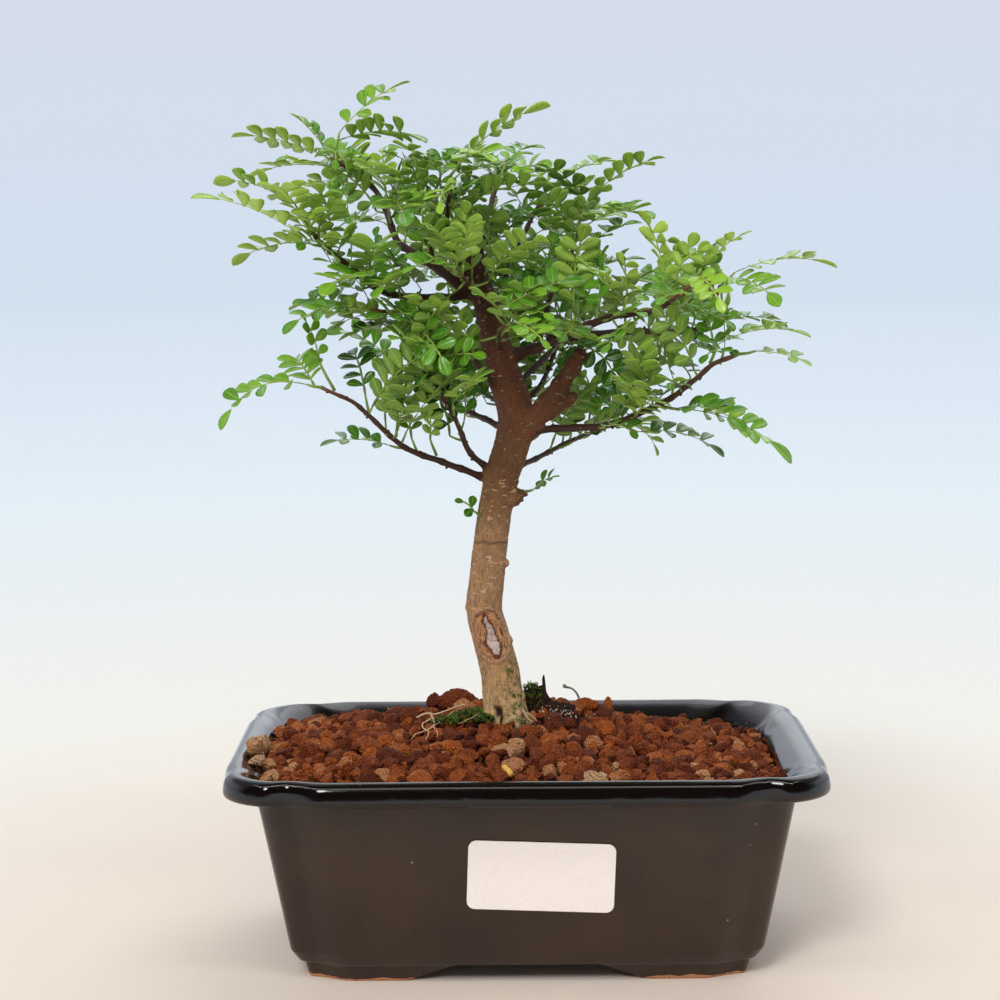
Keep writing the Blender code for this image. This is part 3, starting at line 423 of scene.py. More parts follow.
# Each section: height, half width, half depth, corner run in X and in Y, notch depth, setback of the corner
pot = {
    "footRecess": [(5.4, 58.5, 34.5, 7, 7, 0.4, 0.2), (0, 59.5, 35.5, 7, 7, 0.4, 0.2)],
    "outside": [(0, 67, 45, 4.6, 8.5, 4.6, 4.2), (5, 68.3, 46.6, 4.9, 9.3, 4.6, 4.2),
                (5.4, 69.7, 48, 6.1, 10.5, 4.6, 4.1), (8.8, 72.2, 50, 8.8, 11.5, 4.6, 3.9),
                (52, 80, 54, 10.8, 12.6, 3.4, 2.5), (54.6, 80.7, 54.6, 11.5, 13.2, 3.0, 2.4),
                (55.6, 86.6, 60.6, 17, 18.8, 3.8, 2.2), (56.3, 89.5, 63.5, 19.8, 21.4, 4.0, 1.9),
                (57.8, 90, 64, 20.3, 22, 3.9, 1.7), (61.3, 89.5, 63.5, 20, 21.7, 3.6, 1.6),
                (62.9, 88.1, 62.2, 19, 21, 3.2, 1.4), (63.4, 86.2, 60.6, 17.4, 20, 3.0, 1.5)],
    "inside": [(61.9, 82.0, 57.4, 17, 21, 2.6, 1.5), (57, 76.6, 51.6, 17, 19, 1.6, 1.0),
               (48, 75, 48.6, 14, 16, 0.6, 0.4), (13, 67.5, 43.5, 11, 12, 0.4, 0.2),
               (9.5, 64, 40.5, 10, 11, 0.4, 0.2)],
    "rounding": 3.2, "footRounding": 0.7, "roundSteps": 4, "wallPitch": 6.0,
    "frontStops": [0, 8, 15, 18, 20, 22, 24, 26, 28, 30, 32, 34, 36, 39, 43, 48, 52],  # share the straight part
    "sideStops": [0, 6, 10, 12, 14, 16, 18, 20, 22, 24, 27, 30],
    "flank": 11.0, "shortFlank": 7.0, "flankSteps": 9, "cornerSteps": 24, "sideNotch": 0.4, "sideSetback": 0.15,
    "frontArch": [(0, 5), (19, 5), (21.5, 4.5), (27.8, 2.4), (34.5, 0.3), (36.5, 0), (200, 0)],
    "sideArch": [(0, 5), (12, 5), (14.5, 4.5), (17.5, 2.4), (21.5, 0.3), (23.5, 0), (200, 0)],
    "footTop": 5.4, "drainX": 32, "drainRadius": 7, "drillLength": 20, "drillZ": 8,
    "wobble": 0.14, "wobbleLength": 34, "wobbleFrom": 6,
}


def dip(away, flank, power):  # how deep a notch is, this far from its middle
    share = max(0.0, 1 - away / flank)
    return 0.75 * share * share * (3 - 2 * share) + 0.25 * share ** power


def longDip(away):  # the long flank, from the straight wall
    return dip(away, pot["flank"], 2.4)


def shortDip(away):  # the short flank, towards the corner
    return dip(away, pot["shortFlank"], 1.6)


def potRing(section):
    z, halfX, halfY, runX, runY, notch, setback = section
    front, side = halfX - runX, halfY - runY
    notchX, setbackX = notch * pot["sideNotch"], setback * pot["sideSetback"]
    quarter = [(stop / pot["frontStops"][-1] * (front - pot["flank"]), halfY, "front") for stop in pot["frontStops"]]
    for step in range(1, pot["flankSteps"] + 1):
        away = pot["flank"] * (1 - step / pot["flankSteps"])
        quarter.append((front - away, halfY - notch * longDip(away), "front"))
    for step in range(1, pot["cornerSteps"]):
        angle = math.pi / 2 * step / pot["cornerSteps"]
        x, y = (runX - setbackX) * math.sin(angle), (runY - setback) * math.cos(angle)
        toFront, toSide = math.hypot(x, runY - setback - y), math.hypot(runX - setbackX - x, y)
        quarter.append((front + x - (notchX - setbackX) * shortDip(toSide),
                        side + y - (notch - setback) * shortDip(toFront), "corner"))
    for step in range(pot["flankSteps"], 0, -1):
        away = pot["flank"] * (1 - step / pot["flankSteps"])
        quarter.append((halfX - notchX * longDip(away), side - away, "side"))
    for stop in reversed(pot["sideStops"]):
        quarter.append((halfX, stop / pot["sideStops"][-1] * (side - pot["flank"]), "side"))
    ring = [(x, -y, kind) for x, y, kind in quarter]
    ring += [(x, y, kind) for x, y, kind in reversed(quarter)][1:]
    ring += [(-x, y, kind) for x, y, kind in quarter][1:]
    ring += [(-x, -y, kind) for x, y, kind in reversed(quarter)][1:-1]
    return [(x, y, z, kind) for x, y, kind in ring]


def roundedRows(rows, steps, pitch):  # a chain of sections with its corners eased
    rows = [np.array(row, float) for row in rows]
    out = [rows[0]]
    for before, here, after in zip(rows, rows[1:], rows[2:]):
        back, on = before - here, after - here
        backLength, onLength = np.linalg.norm(back[:3]), np.linalg.norm(on[:3])
        cut = pot["rounding"] if here[0] > 10 else pot["footRounding"]
        reach = min(cut, 0.48 * backLength, 0.48 * onLength)
        start, end = here + back / backLength * reach, here + on / onLength * reach
        gap = np.linalg.norm((start - out[-1])[:3])
        for step in range(1, int(gap // pitch) + 1):
            out.append(out[-1] + (start - out[-1]) / (int(gap // pitch) + 2 - step))
        for step in range(steps + 1):
            t = step / steps
            out.append((1 - t) ** 2 * start + 2 * t * (1 - t) * here + t * t * end)
    out.append(rows[-1])
    return out


def makePot():
    rows = roundedRows(pot["footRecess"] + pot["outside"] + pot["inside"], pot["roundSteps"], pot["wallPitch"])
    frontArch, sideArch = np.array(pot["frontArch"]).T, np.array(pot["sideArch"]).T
    rings = []
    for row in rows:
        ring = []
        for x, y, z, kind in potRing(row):
            if z < pot["footTop"] - 0.01 and kind != "corner":
                lift = np.interp(abs(x), *frontArch) if kind == "front" else np.interp(abs(y), *sideArch)
                z = lift + z * (pot["footTop"] - lift) / pot["footTop"]
            ring.append((x, y, z))
        rings.append(ring)
    count = len(rings[0])
    thing = addShape(bpy.ops.mesh.primitive_circle_add, vertices=count, fill_type="NGON")  # the ceiling in the feet
    thing.name = "glazedPot"
    for vert, point in zip(thing.data.vertices, rings[0]):
        vert.co = Vector(point) * mm
    bpy.ops.object.mode_set(mode="EDIT")
    body = bmesh.from_edit_mesh(thing.data)
    body.verts.ensure_lookup_table()
    edge = [body.verts[at] for at in range(count)]
    for ring in rings[1:]:  # the edge is extruded from section to section, up the outside and down the inside
        fresh = [body.verts.new(Vector(point) * mm) for point in ring]
        for here in range(count):
            after = (here + 1) % count
            body.faces.new((edge[here], edge[after], fresh[after], fresh[here]))
        edge = fresh
    body.faces.new(edge)
    bmesh.update_edit_mesh(thing.data)
    bpy.ops.mesh.select_all(action="SELECT")
    bpy.ops.mesh.normals_make_consistent(inside=False)
    bpy.ops.object.mode_set(mode="OBJECT")
    for side in (-1, 1):
        middle = Vector((side * pot["drainX"], 0, pot["drillZ"])) * mm
        drill = addShape(bpy.ops.mesh.primitive_cylinder_add, vertices=40, radius=pot["drainRadius"] * mm,
                         depth=pot["drillLength"] * mm, location=middle)
        hole = thing.modifiers.new("drain", "BOOLEAN")
        hole.object, hole.solver = drill, "EXACT"
        pickOnly(thing)
        bpy.ops.object.modifier_apply(modifier=hole.name)
        bpy.data.objects.remove(drill)
    moved = [point + pot["wobble"] * np.array(noise.noise_vector(Vector(point) / pot["wobbleLength"]))
             * min(1, point[2] / pot["wobbleFrom"]) for point in pointsOf(thing)]  # pressed walls aren't quite true
    setPoints(thing, np.array(moved))
    dress(smoothShade(thing, 50), [glaze], ["pot"])


makePot()
print("pot made")

screen = {"side": 22, "cells": 11, "strand": 0.7, "x": 32, "z": 10.35}


def makeScreens():
    plastic = mouldedMesh()
    for name, side in (("left", -1), ("right", 1)):
        net = addShape(bpy.ops.mesh.primitive_grid_add, x_subdivisions=screen["cells"],
                       y_subdivisions=screen["cells"], size=(screen["side"] - screen["strand"]) * mm,
                       location=(side * screen["x"] * mm, 0, screen["z"] * mm))
        net.name = "drainScreen_" + name
        strands = net.modifiers.new("strands", "WIREFRAME")
        strands.thickness = screen["strand"] * mm
        applyAll(net)
        dress(net, [plastic], ["drain_screen_" + name])


makeScreens()

soil = {
    "level": 59.2, "fallX": 0.02, "mound": (10.4, -8, 36, 4, 30),  # a rise: height, x, its spread, y, its spread
    "behind": (3.6, 8, 20, 18, 11), "edgeDrop": 2.6, "edgeX": 80, "edgeY": 57,
    "bedDrop": 3.8, "bedRings": 26, "bedWaves": 0.5, "bedEdge": (57, 76.8, 51.4, 14, 16, 0.7, 0.4),
    "bedSides": [(0.80, 0.80, 9.9), (0.945, 0.91, 48), (0.992, 0.99, 56.0)],  # shares of the edge's x and y, height
    "sizes": [(2.6, 3.2, 520), (2.1, 2.7, 3000), (1.5, 2.1, 9000), (0.9, 1.4, 6000)],  # least, most, tries
    "reachX": 84, "reachY": 60, "closeness": 0.82, "shapes": 12, "seed": 5,
    "tone": (0.41, 0.10), "toneLimits": (0.24, 0.66), "paleShare": 0.02, "paleTones": (0.62, 0.76),
    "darkShare": 0.08, "darkTones": (0.22, 0.30), "farLeft": -60, "farLeftPaler": 0.05,
    "facets": 9, "facetDepth": (0.42, 0.80), "across": (0.78, 1.28), "down": (0.75, 1.1), "puff": 1.12,
    "sunk": 0.55, "unevenness": (-0.9, 1.2), "slopeX": 77, "slopeZ": 58.2, "slope": 0.85,  # of the lip's inside
    "wallZ": [9.5, 13, 48, 57, 61.9, 63.6, 90], "wallX": [64, 67.5, 75, 77, 82.4, 87, 87],
    "wallY": [40.5, 43.5, 48.6, 51.6, 57.6, 62, 62], "cornerX": 15.0, "cornerY": 18.0,
    "trunkX": -6, "trunkClear": 7.0,
}
# Pale granules and stones: x, y, radius, tone
paleStones = [
    (-82.7, -18.8, 2.6, 0.72), (-81, -6.5, 2.8, 0.78), (-77.9, -24, 2.7, 0.70), (-75.8, -33, 2.5, 0.74),
    (-73.7, -45, 2.6, 0.86), (-82.4, -12.4, 2.4, 0.74), (-80.8, -28.6, 2.3, 0.80), (-76.9, -39.5, 2.2, 0.70),
    (19.6, -47.4, 3.3, 0.80), (22.8, -44, 2.2, 0.84), (16.6, -50, 2.4, 0.76), (10.5, -38, 2.2, 0.64),
    (49.6, -27, 2.9, 0.76), (52.6, -36.5, 2.2, 0.72), (73.2, -42, 2.7, 0.68), (-17, 18, 2.3, 0.66),
]


def riseAt(x, y, height, middleX, spreadX, middleY, spreadY):
    return height * math.exp(-(((x - middleX) / spreadX) ** 2 + ((y - middleY) / spreadY) ** 2) / 2)


def soilHeight(x, y):
    nearWall = ((abs(x) / soil["edgeX"]) ** 6 + (abs(y) / soil["edgeY"]) ** 6) ** (1 / 6)
    drop = soil["edgeDrop"] * min(1, max(0, (nearWall - 0.80) / 0.2)) ** 1.3
    return soil["level"] - soil["fallX"] * x + riseAt(x, y, *soil["mound"]) + riseAt(x, y, *soil["behind"]) - drop


def granuleShapes():  # broken lumps, faceted and dented
    chance = random.Random(soil["seed"])
    shapes = []
    for number in range(soil["shapes"]):
        lump = addShape(bpy.ops.mesh.primitive_ico_sphere_add, subdivisions=2, radius=mm)
        facets = [(Vector([chance.gauss(0, 1) for _ in range(3)]).normalized(), chance.uniform(*soil["facetDepth"]))
                  for _ in range(soil["facets"])]
        offset = Vector((number * 7.3, 1.7, 0))
        for vert in lump.data.vertices:
            point = vert.co / mm
            for facing, depth in facets:
                over = point.dot(facing) - depth
                if over > 0:
                    point = point - facing * over * 0.9
            point *= 1.16 + 0.34 * noise.noise(point * 1.6 + offset) + 0.22 * noise.noise(point * 3.9 + offset)
            vert.co = point * mm
        shapes.append(shapeOf(lump))
    return shapes


def insideEdge(x, y, z, margin):  # of the wall's inside, with its rounded corners
    reachX = np.interp(z, soil["wallZ"], soil["wallX"]) - margin
    reachY = np.interp(z, soil["wallZ"], soil["wallY"]) - margin
    overX, overY = abs(x) - (reachX - soil["cornerX"]), abs(y) - (reachY - soil["cornerY"])
    if abs(x) > reachX or abs(y) > reachY:
        return False
    return overX < 0 or overY < 0 or (overX / soil["cornerX"]) ** 2 + (overY / soil["cornerY"]) ** 2 < 1


def makeBed():  # the packed soil under the loose granules
    bedRing = [(x, y) for x, y, z, kind in potRing(soil["bedEdge"])][::3]
    rings = [[(x * shareX, y * shareY, z) for x, y in bedRing] for shareX, shareY, z in soil["bedSides"]]
    for step in range(soil["bedRings"], 0, -1):
        share = step / soil["bedRings"] * 0.99
        ring = [(x * share, y * share) for x, y in bedRing]
        rings.append([(x, y, soilHeight(x, y) - soil["bedDrop"]
                       + soil["bedWaves"] * noise.noise(Vector((x, y, 0)) / 3)) for x, y in ring])
    points = [point for ring in rings for point in ring]
    bed = meshThing("soilBed", points, tubeFaces(len(rings), len(bedRing)))
    smoothShade(faceOutwards(bed), 60)
    # The bed gets a dark tone: painted shade in the gaps between the granules.
    setNumber(bed, "tone", np.full(len(bed.data.vertices), 0.12))
    dress(bed, [clay], ["soil"])


def granuleTone(x, chance):
    least, most = soil["toneLimits"]
    tone = min(most, max(least, chance.gauss(*soil["tone"])))
    if chance.random() < soil["paleShare"]:
        tone = chance.uniform(*soil["paleTones"])
    elif chance.random() < soil["darkShare"]:
        tone = chance.uniform(*soil["darkTones"])
    return tone + soil["farLeftPaler"] if x < soil["farLeft"] else tone


def layGranules(chance):  # where each lies: x, y, radius, tone
    laid = list(paleStones)
    for low, high, tries in soil["sizes"]:
        for _ in range(tries):
            x = chance.uniform(-soil["reachX"], soil["reachX"])
            y = chance.uniform(-soil["reachY"], soil["reachY"])
            radius, tone = chance.uniform(low, high), granuleTone(x, chance)
            atTrunk = math.hypot(x - soil["trunkX"], y) < soil["trunkClear"] + 0.5 * radius
            if atTrunk or not insideEdge(x, y, soilHeight(x, y), radius * 0.8):
                continue
            if all(abs(x - ox) > 7 or (x - ox) ** 2 + (y - oy) ** 2 > (soil["closeness"] * (radius + other)) ** 2
                   for ox, oy, other, _ in laid):
                laid.append((x, y, radius, tone))
    return laid


def makeGranules():
    shapes = granuleShapes()
    chance = random.Random(soil["seed"] + 1)
    laid = layGranules(chance)
    batch = newBatch()
    for number, (x, y, radius, tone) in enumerate(laid):
        shape = chance.choice(shapes)
        turn = Matrix.Rotation(chance.uniform(0, math.tau), 3, Vector([chance.gauss(0, 1) for _ in range(3)]))
        squash = Matrix.Diagonal([chance.uniform(*soil[way]) for way in ("across", "across", "down")])
        place = np.eye(4)
        place[:3, :3] = np.array(turn @ squash) * radius * soil["puff"]
        height = soilHeight(x, y) - soil["sunk"] * radius + chance.uniform(*soil["unevenness"])
        if number < len(paleStones) and abs(x) > soil["slopeX"] - 0.5:  # these lie on the slope of the lip
            height = soil["slopeZ"] + (abs(x) - soil["slopeX"]) * soil["slope"] + 0.6 * radius
        place[:3, 3] = (x, y, height)
        addCopy(batch, shape, place, tone)
    granules = batchThing("clayGranules", batch)
    points = pointsOf(granules)  # none reaches into the pot's wall
    for axis, walls in ((0, "wallX"), (1, "wallY")):
        reach = np.interp(points[:, 2], soil["wallZ"], soil[walls]) - 0.5
        points[:, axis] = np.clip(points[:, axis], -reach, reach)
    setPoints(granules, points)
    dress(smoothShade(granules, 38), [clay], ["soil"])
    print("granules:", len(laid), "triangles:", len(granules.data.polygons))


makeBed()
makeGranules()

# Points of the route as x, y, z, radius
trunkRoute = [
    (-6, 0, 54, 8.4), (-6, 0, 66.5, 8.0), (-6.2, 0, 70.5, 7.1), (-6.7, 0, 76, 6.3), (-7.6, 0, 84, 6.1),
    (-10, 0, 94, 5.8), (-12.3, 0, 104, 5.7), (-11.6, 0, 112, 5.5), (-10.2, 0, 125, 5.3), (-8.8, 0, 134, 5.2),
    (-6.9, 0, 144, 5.3), (-3.6, 0, 154, 5.5), (-2, 0, 162, 5.6), (-3.2, 0, 169, 5.6), (-6.4, 0, 178, 5.2),
    (-8.4, 0, 187, 4.5), (-11.3, 0, 199, 3.8), (-14, 0, 207, 3.5), (-16.2, 0, 213.6, 3.0),
]
# Branches: points of each route, then the radius at its start and at its end
branches = {
    "low_left": ([(-8, 0, 143), (-21, -8, 149), (-30, -14, 153), (-36, -18, 156), (-43, -24, 163),
                  (-50, -29, 170), (-59, -35, 175)], 1.7, 0.8),
    "left_rising": ([(-9, 0, 146), (-16, -8, 153), (-19, -12, 160), (-21, -15, 165), (-28, -22, 178)], 1.5, 0.8),
    "left_back": ([(-4, 0, 159), (-15, 16, 163), (-26, 34, 167), (-33, 44, 168)], 1.6, 0.8),
    "left_mid": ([(-4, 0, 166), (-12, -8, 178), (-18, -12, 185), (-29, -18, 193), (-36, -21, 196),
                  (-45, -28, 197)], 1.6, 0.8),
    "upper_left": ([(-12, 0, 202), (-23, -2, 200), (-38, -9, 201), (-45, -14, 204), (-51, -20, 210),
                    (-59, -30, 217), (-62, -34, 222)], 1.9, 0.8),
    "steep_left": ([(-14, 0, 200), (-25, 4, 208), (-34, 6, 214), (-38, 7, 217), (-43, 10, 230),
                    (-48, 10, 236), (-57, 2, 242)], 2.4, 0.9),
    "spur_a": ([(-26, 4, 208), (-28, 1, 217), (-26, -8, 232)], 1.2, 0.8),
    "spur_b": ([(-16, 0, 203), (-22, -12, 218), (-21, -30, 236)], 1.5, 0.8),
    "leader": ([(-9, 0, 192), (-12, -4, 206), (-12, -4, 217), (-7, 4, 235)], 1.5, 0.9),
    "right_upper": ([(-5, 0, 181), (7, -10, 186), (17, -18, 191), (28, -27, 195), (39, -35, 197),
                     (48, -42, 204)], 2.4, 0.9),
    "right_middle": ([(-5, 0, 182), (14, 4, 187), (35, 3, 189), (49, 0, 189), (55, -2, 191),
                      (60, -6, 203)], 2.0, 0.9),
    "right_low": ([(-2, 0, 159), (16, -14, 161), (25, -20, 162), (36, -28, 167), (46, -34, 173),
                   (55, -38, 181), (62, -39, 184)], 1.8, 0.9),
    "right_lowest": ([(-4, 0, 147), (6, 14, 150), (17, 28, 154), (29, 42, 157)], 1.5, 0.8),
    "stub_long": ([(-2, 0, 158), (9, -8, 170), (13, -11, 176), (18, -16, 184)], 3.6, 2.3),
    "stub_short": ([(2, -4, 161), (11, -10, 167), (16, -13, 171)], 2.4, 1.6),
    "back_right_high": ([(-4, 0, 171), (8, 18, 181), (17, 30, 187), (25, 42, 191)], 1.5, 0.8),
    "back_right": ([(-3, 0, 165), (6, 16, 172), (12, 38, 185), (14, 48, 190)], 1.4, 0.8),
    "right_rising": ([(8, -11, 186), (8, -10, 199), (14, -6, 210), (18, 0, 225)], 1.4, 0.8),
    "middle_rising": ([(-9, 0, 193), (-4, 12, 208), (4, 24, 225), (9, 30, 231)], 1.4, 0.8),
    "front_low": ([(-7, 0, 184), (-7, -25, 190), (-5, -40, 193)], 1.3, 0.8),
    "front_high": ([(-11, 0, 198), (-15, -24, 204), (-19, -38, 208)], 1.3, 0.8),
    "back_low": ([(-3, 0, 162), (-9, 28, 167), (-15, 44, 169)], 1.3, 0.8),
    "back_middle": ([(-7, 0, 187), (-5, 28, 192), (-1, 44, 196)], 1.3, 0.8),
    "back_high": ([(-10, 0, 198), (-17, 28, 203), (-23, 44, 208)], 1.3, 0.8),
}
twig = {
    "slim": 0.66, "sides": 8, "knuckle": 7.0, "swell": 0.24, "crook": 0.35, "budEvery": 8.0, "budTone": 0.45,
    "bud": ((0.3, 0.55), (1.05, 0.5), (1.45, 0.36), (1.7, 0.12)),  # how far out, in branch radii, and its radius
}
trunk = {
    "voxel": 0.5, "smoothing": 5, "limbFrom": 6.0, "sleeve": 7.5,  # each branch's length in the trunk's own mesh
    "collar": 0.35, "collarLength": 3.0, "stubRipple": 0.10, "fissure": 0.20, "bulge": 0.45,
    "knots": [((-11.0, -2, 145.0), 2.0), ((-5.9, -2.6, 118.5), 1.6), ((1.6, -2, 160), 4.2), ((-12.2, -3.2, 132), 1.3),
              ((-4.9, -2.2, 94.4), 1.5), ((-17.0, -1.0, 104.4), 1.5)],
    "knotCone": [(-6, -1.5, 138.2, 3.4), (-2.6, -2, 138.8, 2.9), (-0.6, -2.3, 139.7, 1.8), (0.6, -2.4, 140.4, 0.9)],
    # Root flares: angle round the trunk in degrees, reach, radius at the trunk
    "flares": [(-150, 8.5, 3.0), (-100, 6.8, 2.8), (-58, 9.2, 2.6), (-15, 8.6, 3.0), (40, 9.0, 3.0),
               (95, 8.6, 2.8), (165, 9.0, 3.0)],
    "flareTop": 77, "flareDrop": 12.5, "flareFrom": 3.4,
}
scar = {
    "centre": (-10.4, 96.7), "lean": 16.7, "halfHeight": 8.3, "halfWidth": 4.7,
    # Rolls of callus: where they run as a share of the scar's edge, their half width and their height
    "roll": (1.0, 0.13, 0.55), "inner": (0.62, 0.16, 0.30), "dish": 0.35, "foldHeight": 0.14, "folds": 19,
    # Dead wood: a streak, narrow at the top and wider below, a little to the left
    "streakTop": 5.6, "streakLength": 11.4, "streakHalf": 1.25, "streakWider": 0.85, "streakX": 0.1,
    "streakZ": -0.4, "streakHalfHeight": 6.7, "streakDepth": 1.0,
    "edgeStage": 0.18, "foldStage": 0.49, "rimStage": 0.72, "woodStage": 0.93,  # the places on the callus ramp
}


def curveTube(name, path, sides=16):  # a capped tube along x, y, z, radius rows
    curve = bpy.data.curves.new(name, "CURVE")
    curve.dimensions = "3D"
    curve.bevel_depth = mm
    curve.bevel_resolution = (sides - 4) // 2
    curve.use_fill_caps = True
    line = curve.splines.new("POLY")
    line.points.add(len(path) - 1)
    for point, (x, y, z, radius) in zip(line.points, path):
        point.co = (x * mm, y * mm, z * mm, 1)
        point.radius = radius
    thing = bpy.data.objects.new(name, curve)
    bpy.context.scene.collection.objects.link(thing)
    pickOnly(thing)
    bpy.ops.object.convert(target="MESH")
    return faceOutwards(bpy.context.object)


def branchRows(name, pitch=1.5):
    route, first, last = branches[name]
    steps = len(route) - 1
    slim = 1 if name.startswith("stub") else twig["slim"]
    rows = [(*point, slim * (first + (last - first) * at / steps)) for at, point in enumerate(route)]
    return smoothPath(rows, pitch)


def travelled(rows):
    return np.concatenate([[0], np.cumsum(np.linalg.norm(np.diff(rows[:, :3], axis=0), axis=1))])


trunkRows = smoothPath(trunkRoute, 1.0)


def fromTrunkLine(rows):
    return np.linalg.norm(rows[:, None, :3] - trunkRows[None, :, :3], axis=2).min(axis=1)


def clearOf(points, rows):  # how far each point lies outside the nearest of the balls x, y, z, radius
    out = np.empty(len(points))
    for start in range(0, len(points), 8000):
        block = points[start:start + 8000]
        away = np.linalg.norm(block[:, None] - rows[None, :, :3], axis=2) - rows[None, :, 3]
        out[start:start + 8000] = away.min(axis=1)
    return out


def joinWood():  # the trunk, its knots and flares and the first length of each branch, melted into one skin
    pieces = [curveTube("trunk", trunkRows, 40)]
    for name in branches:
        rows = branchRows(name, 1.0)
        reach = travelled(rows)
        if not name.startswith("stub"):
            isOut = fromTrunkLine(rows) > trunk["limbFrom"]
            outside = np.argmax(isOut) if isOut.any() else len(rows) - 1
            rows = rows[reach < reach[outside] + trunk["sleeve"]].copy()
            beyond = travelled(rows) - travelled(rows)[min(outside, len(rows) - 1)]
            rows[:, 3] *= 1 + trunk["collar"] * np.clip(1 - beyond / trunk["collarLength"], 0, 1)
        else:
            rows[:, 3] *= 1 + trunk["stubRipple"] * np.sin(reach * 0.9)
        pieces.append(curveTube(name + "_limb", rows, 16))
    for centre, radius in trunk["knots"]:
        pieces.append(applyAll(addShape(bpy.ops.mesh.primitive_ico_sphere_add, subdivisions=3, radius=radius * mm,
                                        location=Vector(centre) * mm)))
    pieces.append(curveTube("knotCone", smoothPath(trunk["knotCone"], 0.8), 14))
    for angle, reach, radius in trunk["flares"]:
        way = Vector((math.cos(math.radians(angle)), math.sin(math.radians(angle)), 0))
        rows = []
        for step in range(9):
            share = step / 8
            out = trunk["flareFrom"] + (reach - 1.0) * share ** 1.3
            rows.append((trunkRoute[0][0] + way.x * out, way.y * out,
                         trunk["flareTop"] - trunk["flareDrop"] * share ** 0.75, radius * (1.0 - 0.45 * share)))
        pieces.append(curveTube("flare", smoothPath(rows, 1.0), 14))
    whole = joinAll(pieces)
    whole.name = whole.data.name = "pepperTrunk"
    blend = whole.modifiers.new("blend", "REMESH")
    blend.mode, blend.voxel_size = "VOXEL", trunk["voxel"] * mm
    ease = whole.modifiers.new("ease", "SMOOTH")
    ease.factor, ease.iterations = 0.5, trunk["smoothing"]
    applyAll(whole)
    whole.data.update()
    return whole


def scarShape(points, front, ripple):  # the healed cut: shares of its ring, how far it stands out, and its stage
    lean = math.radians(scar["lean"])
    x, z = points[:, 0] - scar["centre"][0], points[:, 2] - scar["centre"][1]
    across = x * math.cos(lean) + z * math.sin(lean)
    along = -x * math.sin(lean) + z * math.cos(lean)
    ringShare = (abs(along / scar["halfHeight"]) ** 2.5 + abs(across / scar["halfWidth"]) ** 2.5) ** 0.4
    down = np.clip((scar["streakTop"] - along) / scar["streakLength"], 0, 1)
    halfStreak = scar["streakHalf"] + scar["streakWider"] * easing(down, 0.2, 0.8)
    offStreak = across - scar["streakX"] - 0.3 * np.sin(along * 0.9) - 0.5 * ripple
    streak = (abs(offStreak / halfStreak) ** 2.4
              + abs((along - scar["streakZ"]) / scar["streakHalfHeight"]) ** 2.4) ** (1 / 2.4)
    (rollAt, rollHalf, rollHeight), (innerAt, innerHalf, innerHeight) = scar["roll"], scar["inner"]
    roll = np.exp(-((ringShare - rollAt - 0.06 * ripple) / rollHalf) ** 2)
    inner = np.exp(-((ringShare - innerAt - 0.10 * ripple) / innerHalf) ** 2)
    folds = np.sin(ringShare * scar["folds"] + 3.5 * ripple + 0.35 * along)
    within, seen = ringShare < 0.95, front > 0.4
    lift = front * (rollHeight * roll + innerHeight * inner - scar["dish"] * within * (1 - inner)
                    + scar["foldHeight"] * folds * within - scar["streakDepth"] * easing(-streak, -1.12, -0.85))
    healed = front * np.where(ringShare < 1.10 + 0.10 * ripple, scar["edgeStage"] + 0.10 * roll, 0)
    healed = np.where((ringShare < 0.93) & seen, scar["foldStage"] - 0.09 * folds - 0.10 * ripple, healed)
    healed = np.where((streak < 1.14) & seen, scar["rimStage"], healed)
    healed = np.where((streak < 0.92) & seen, scar["woodStage"], healed)
    return ringShare, lift, healed


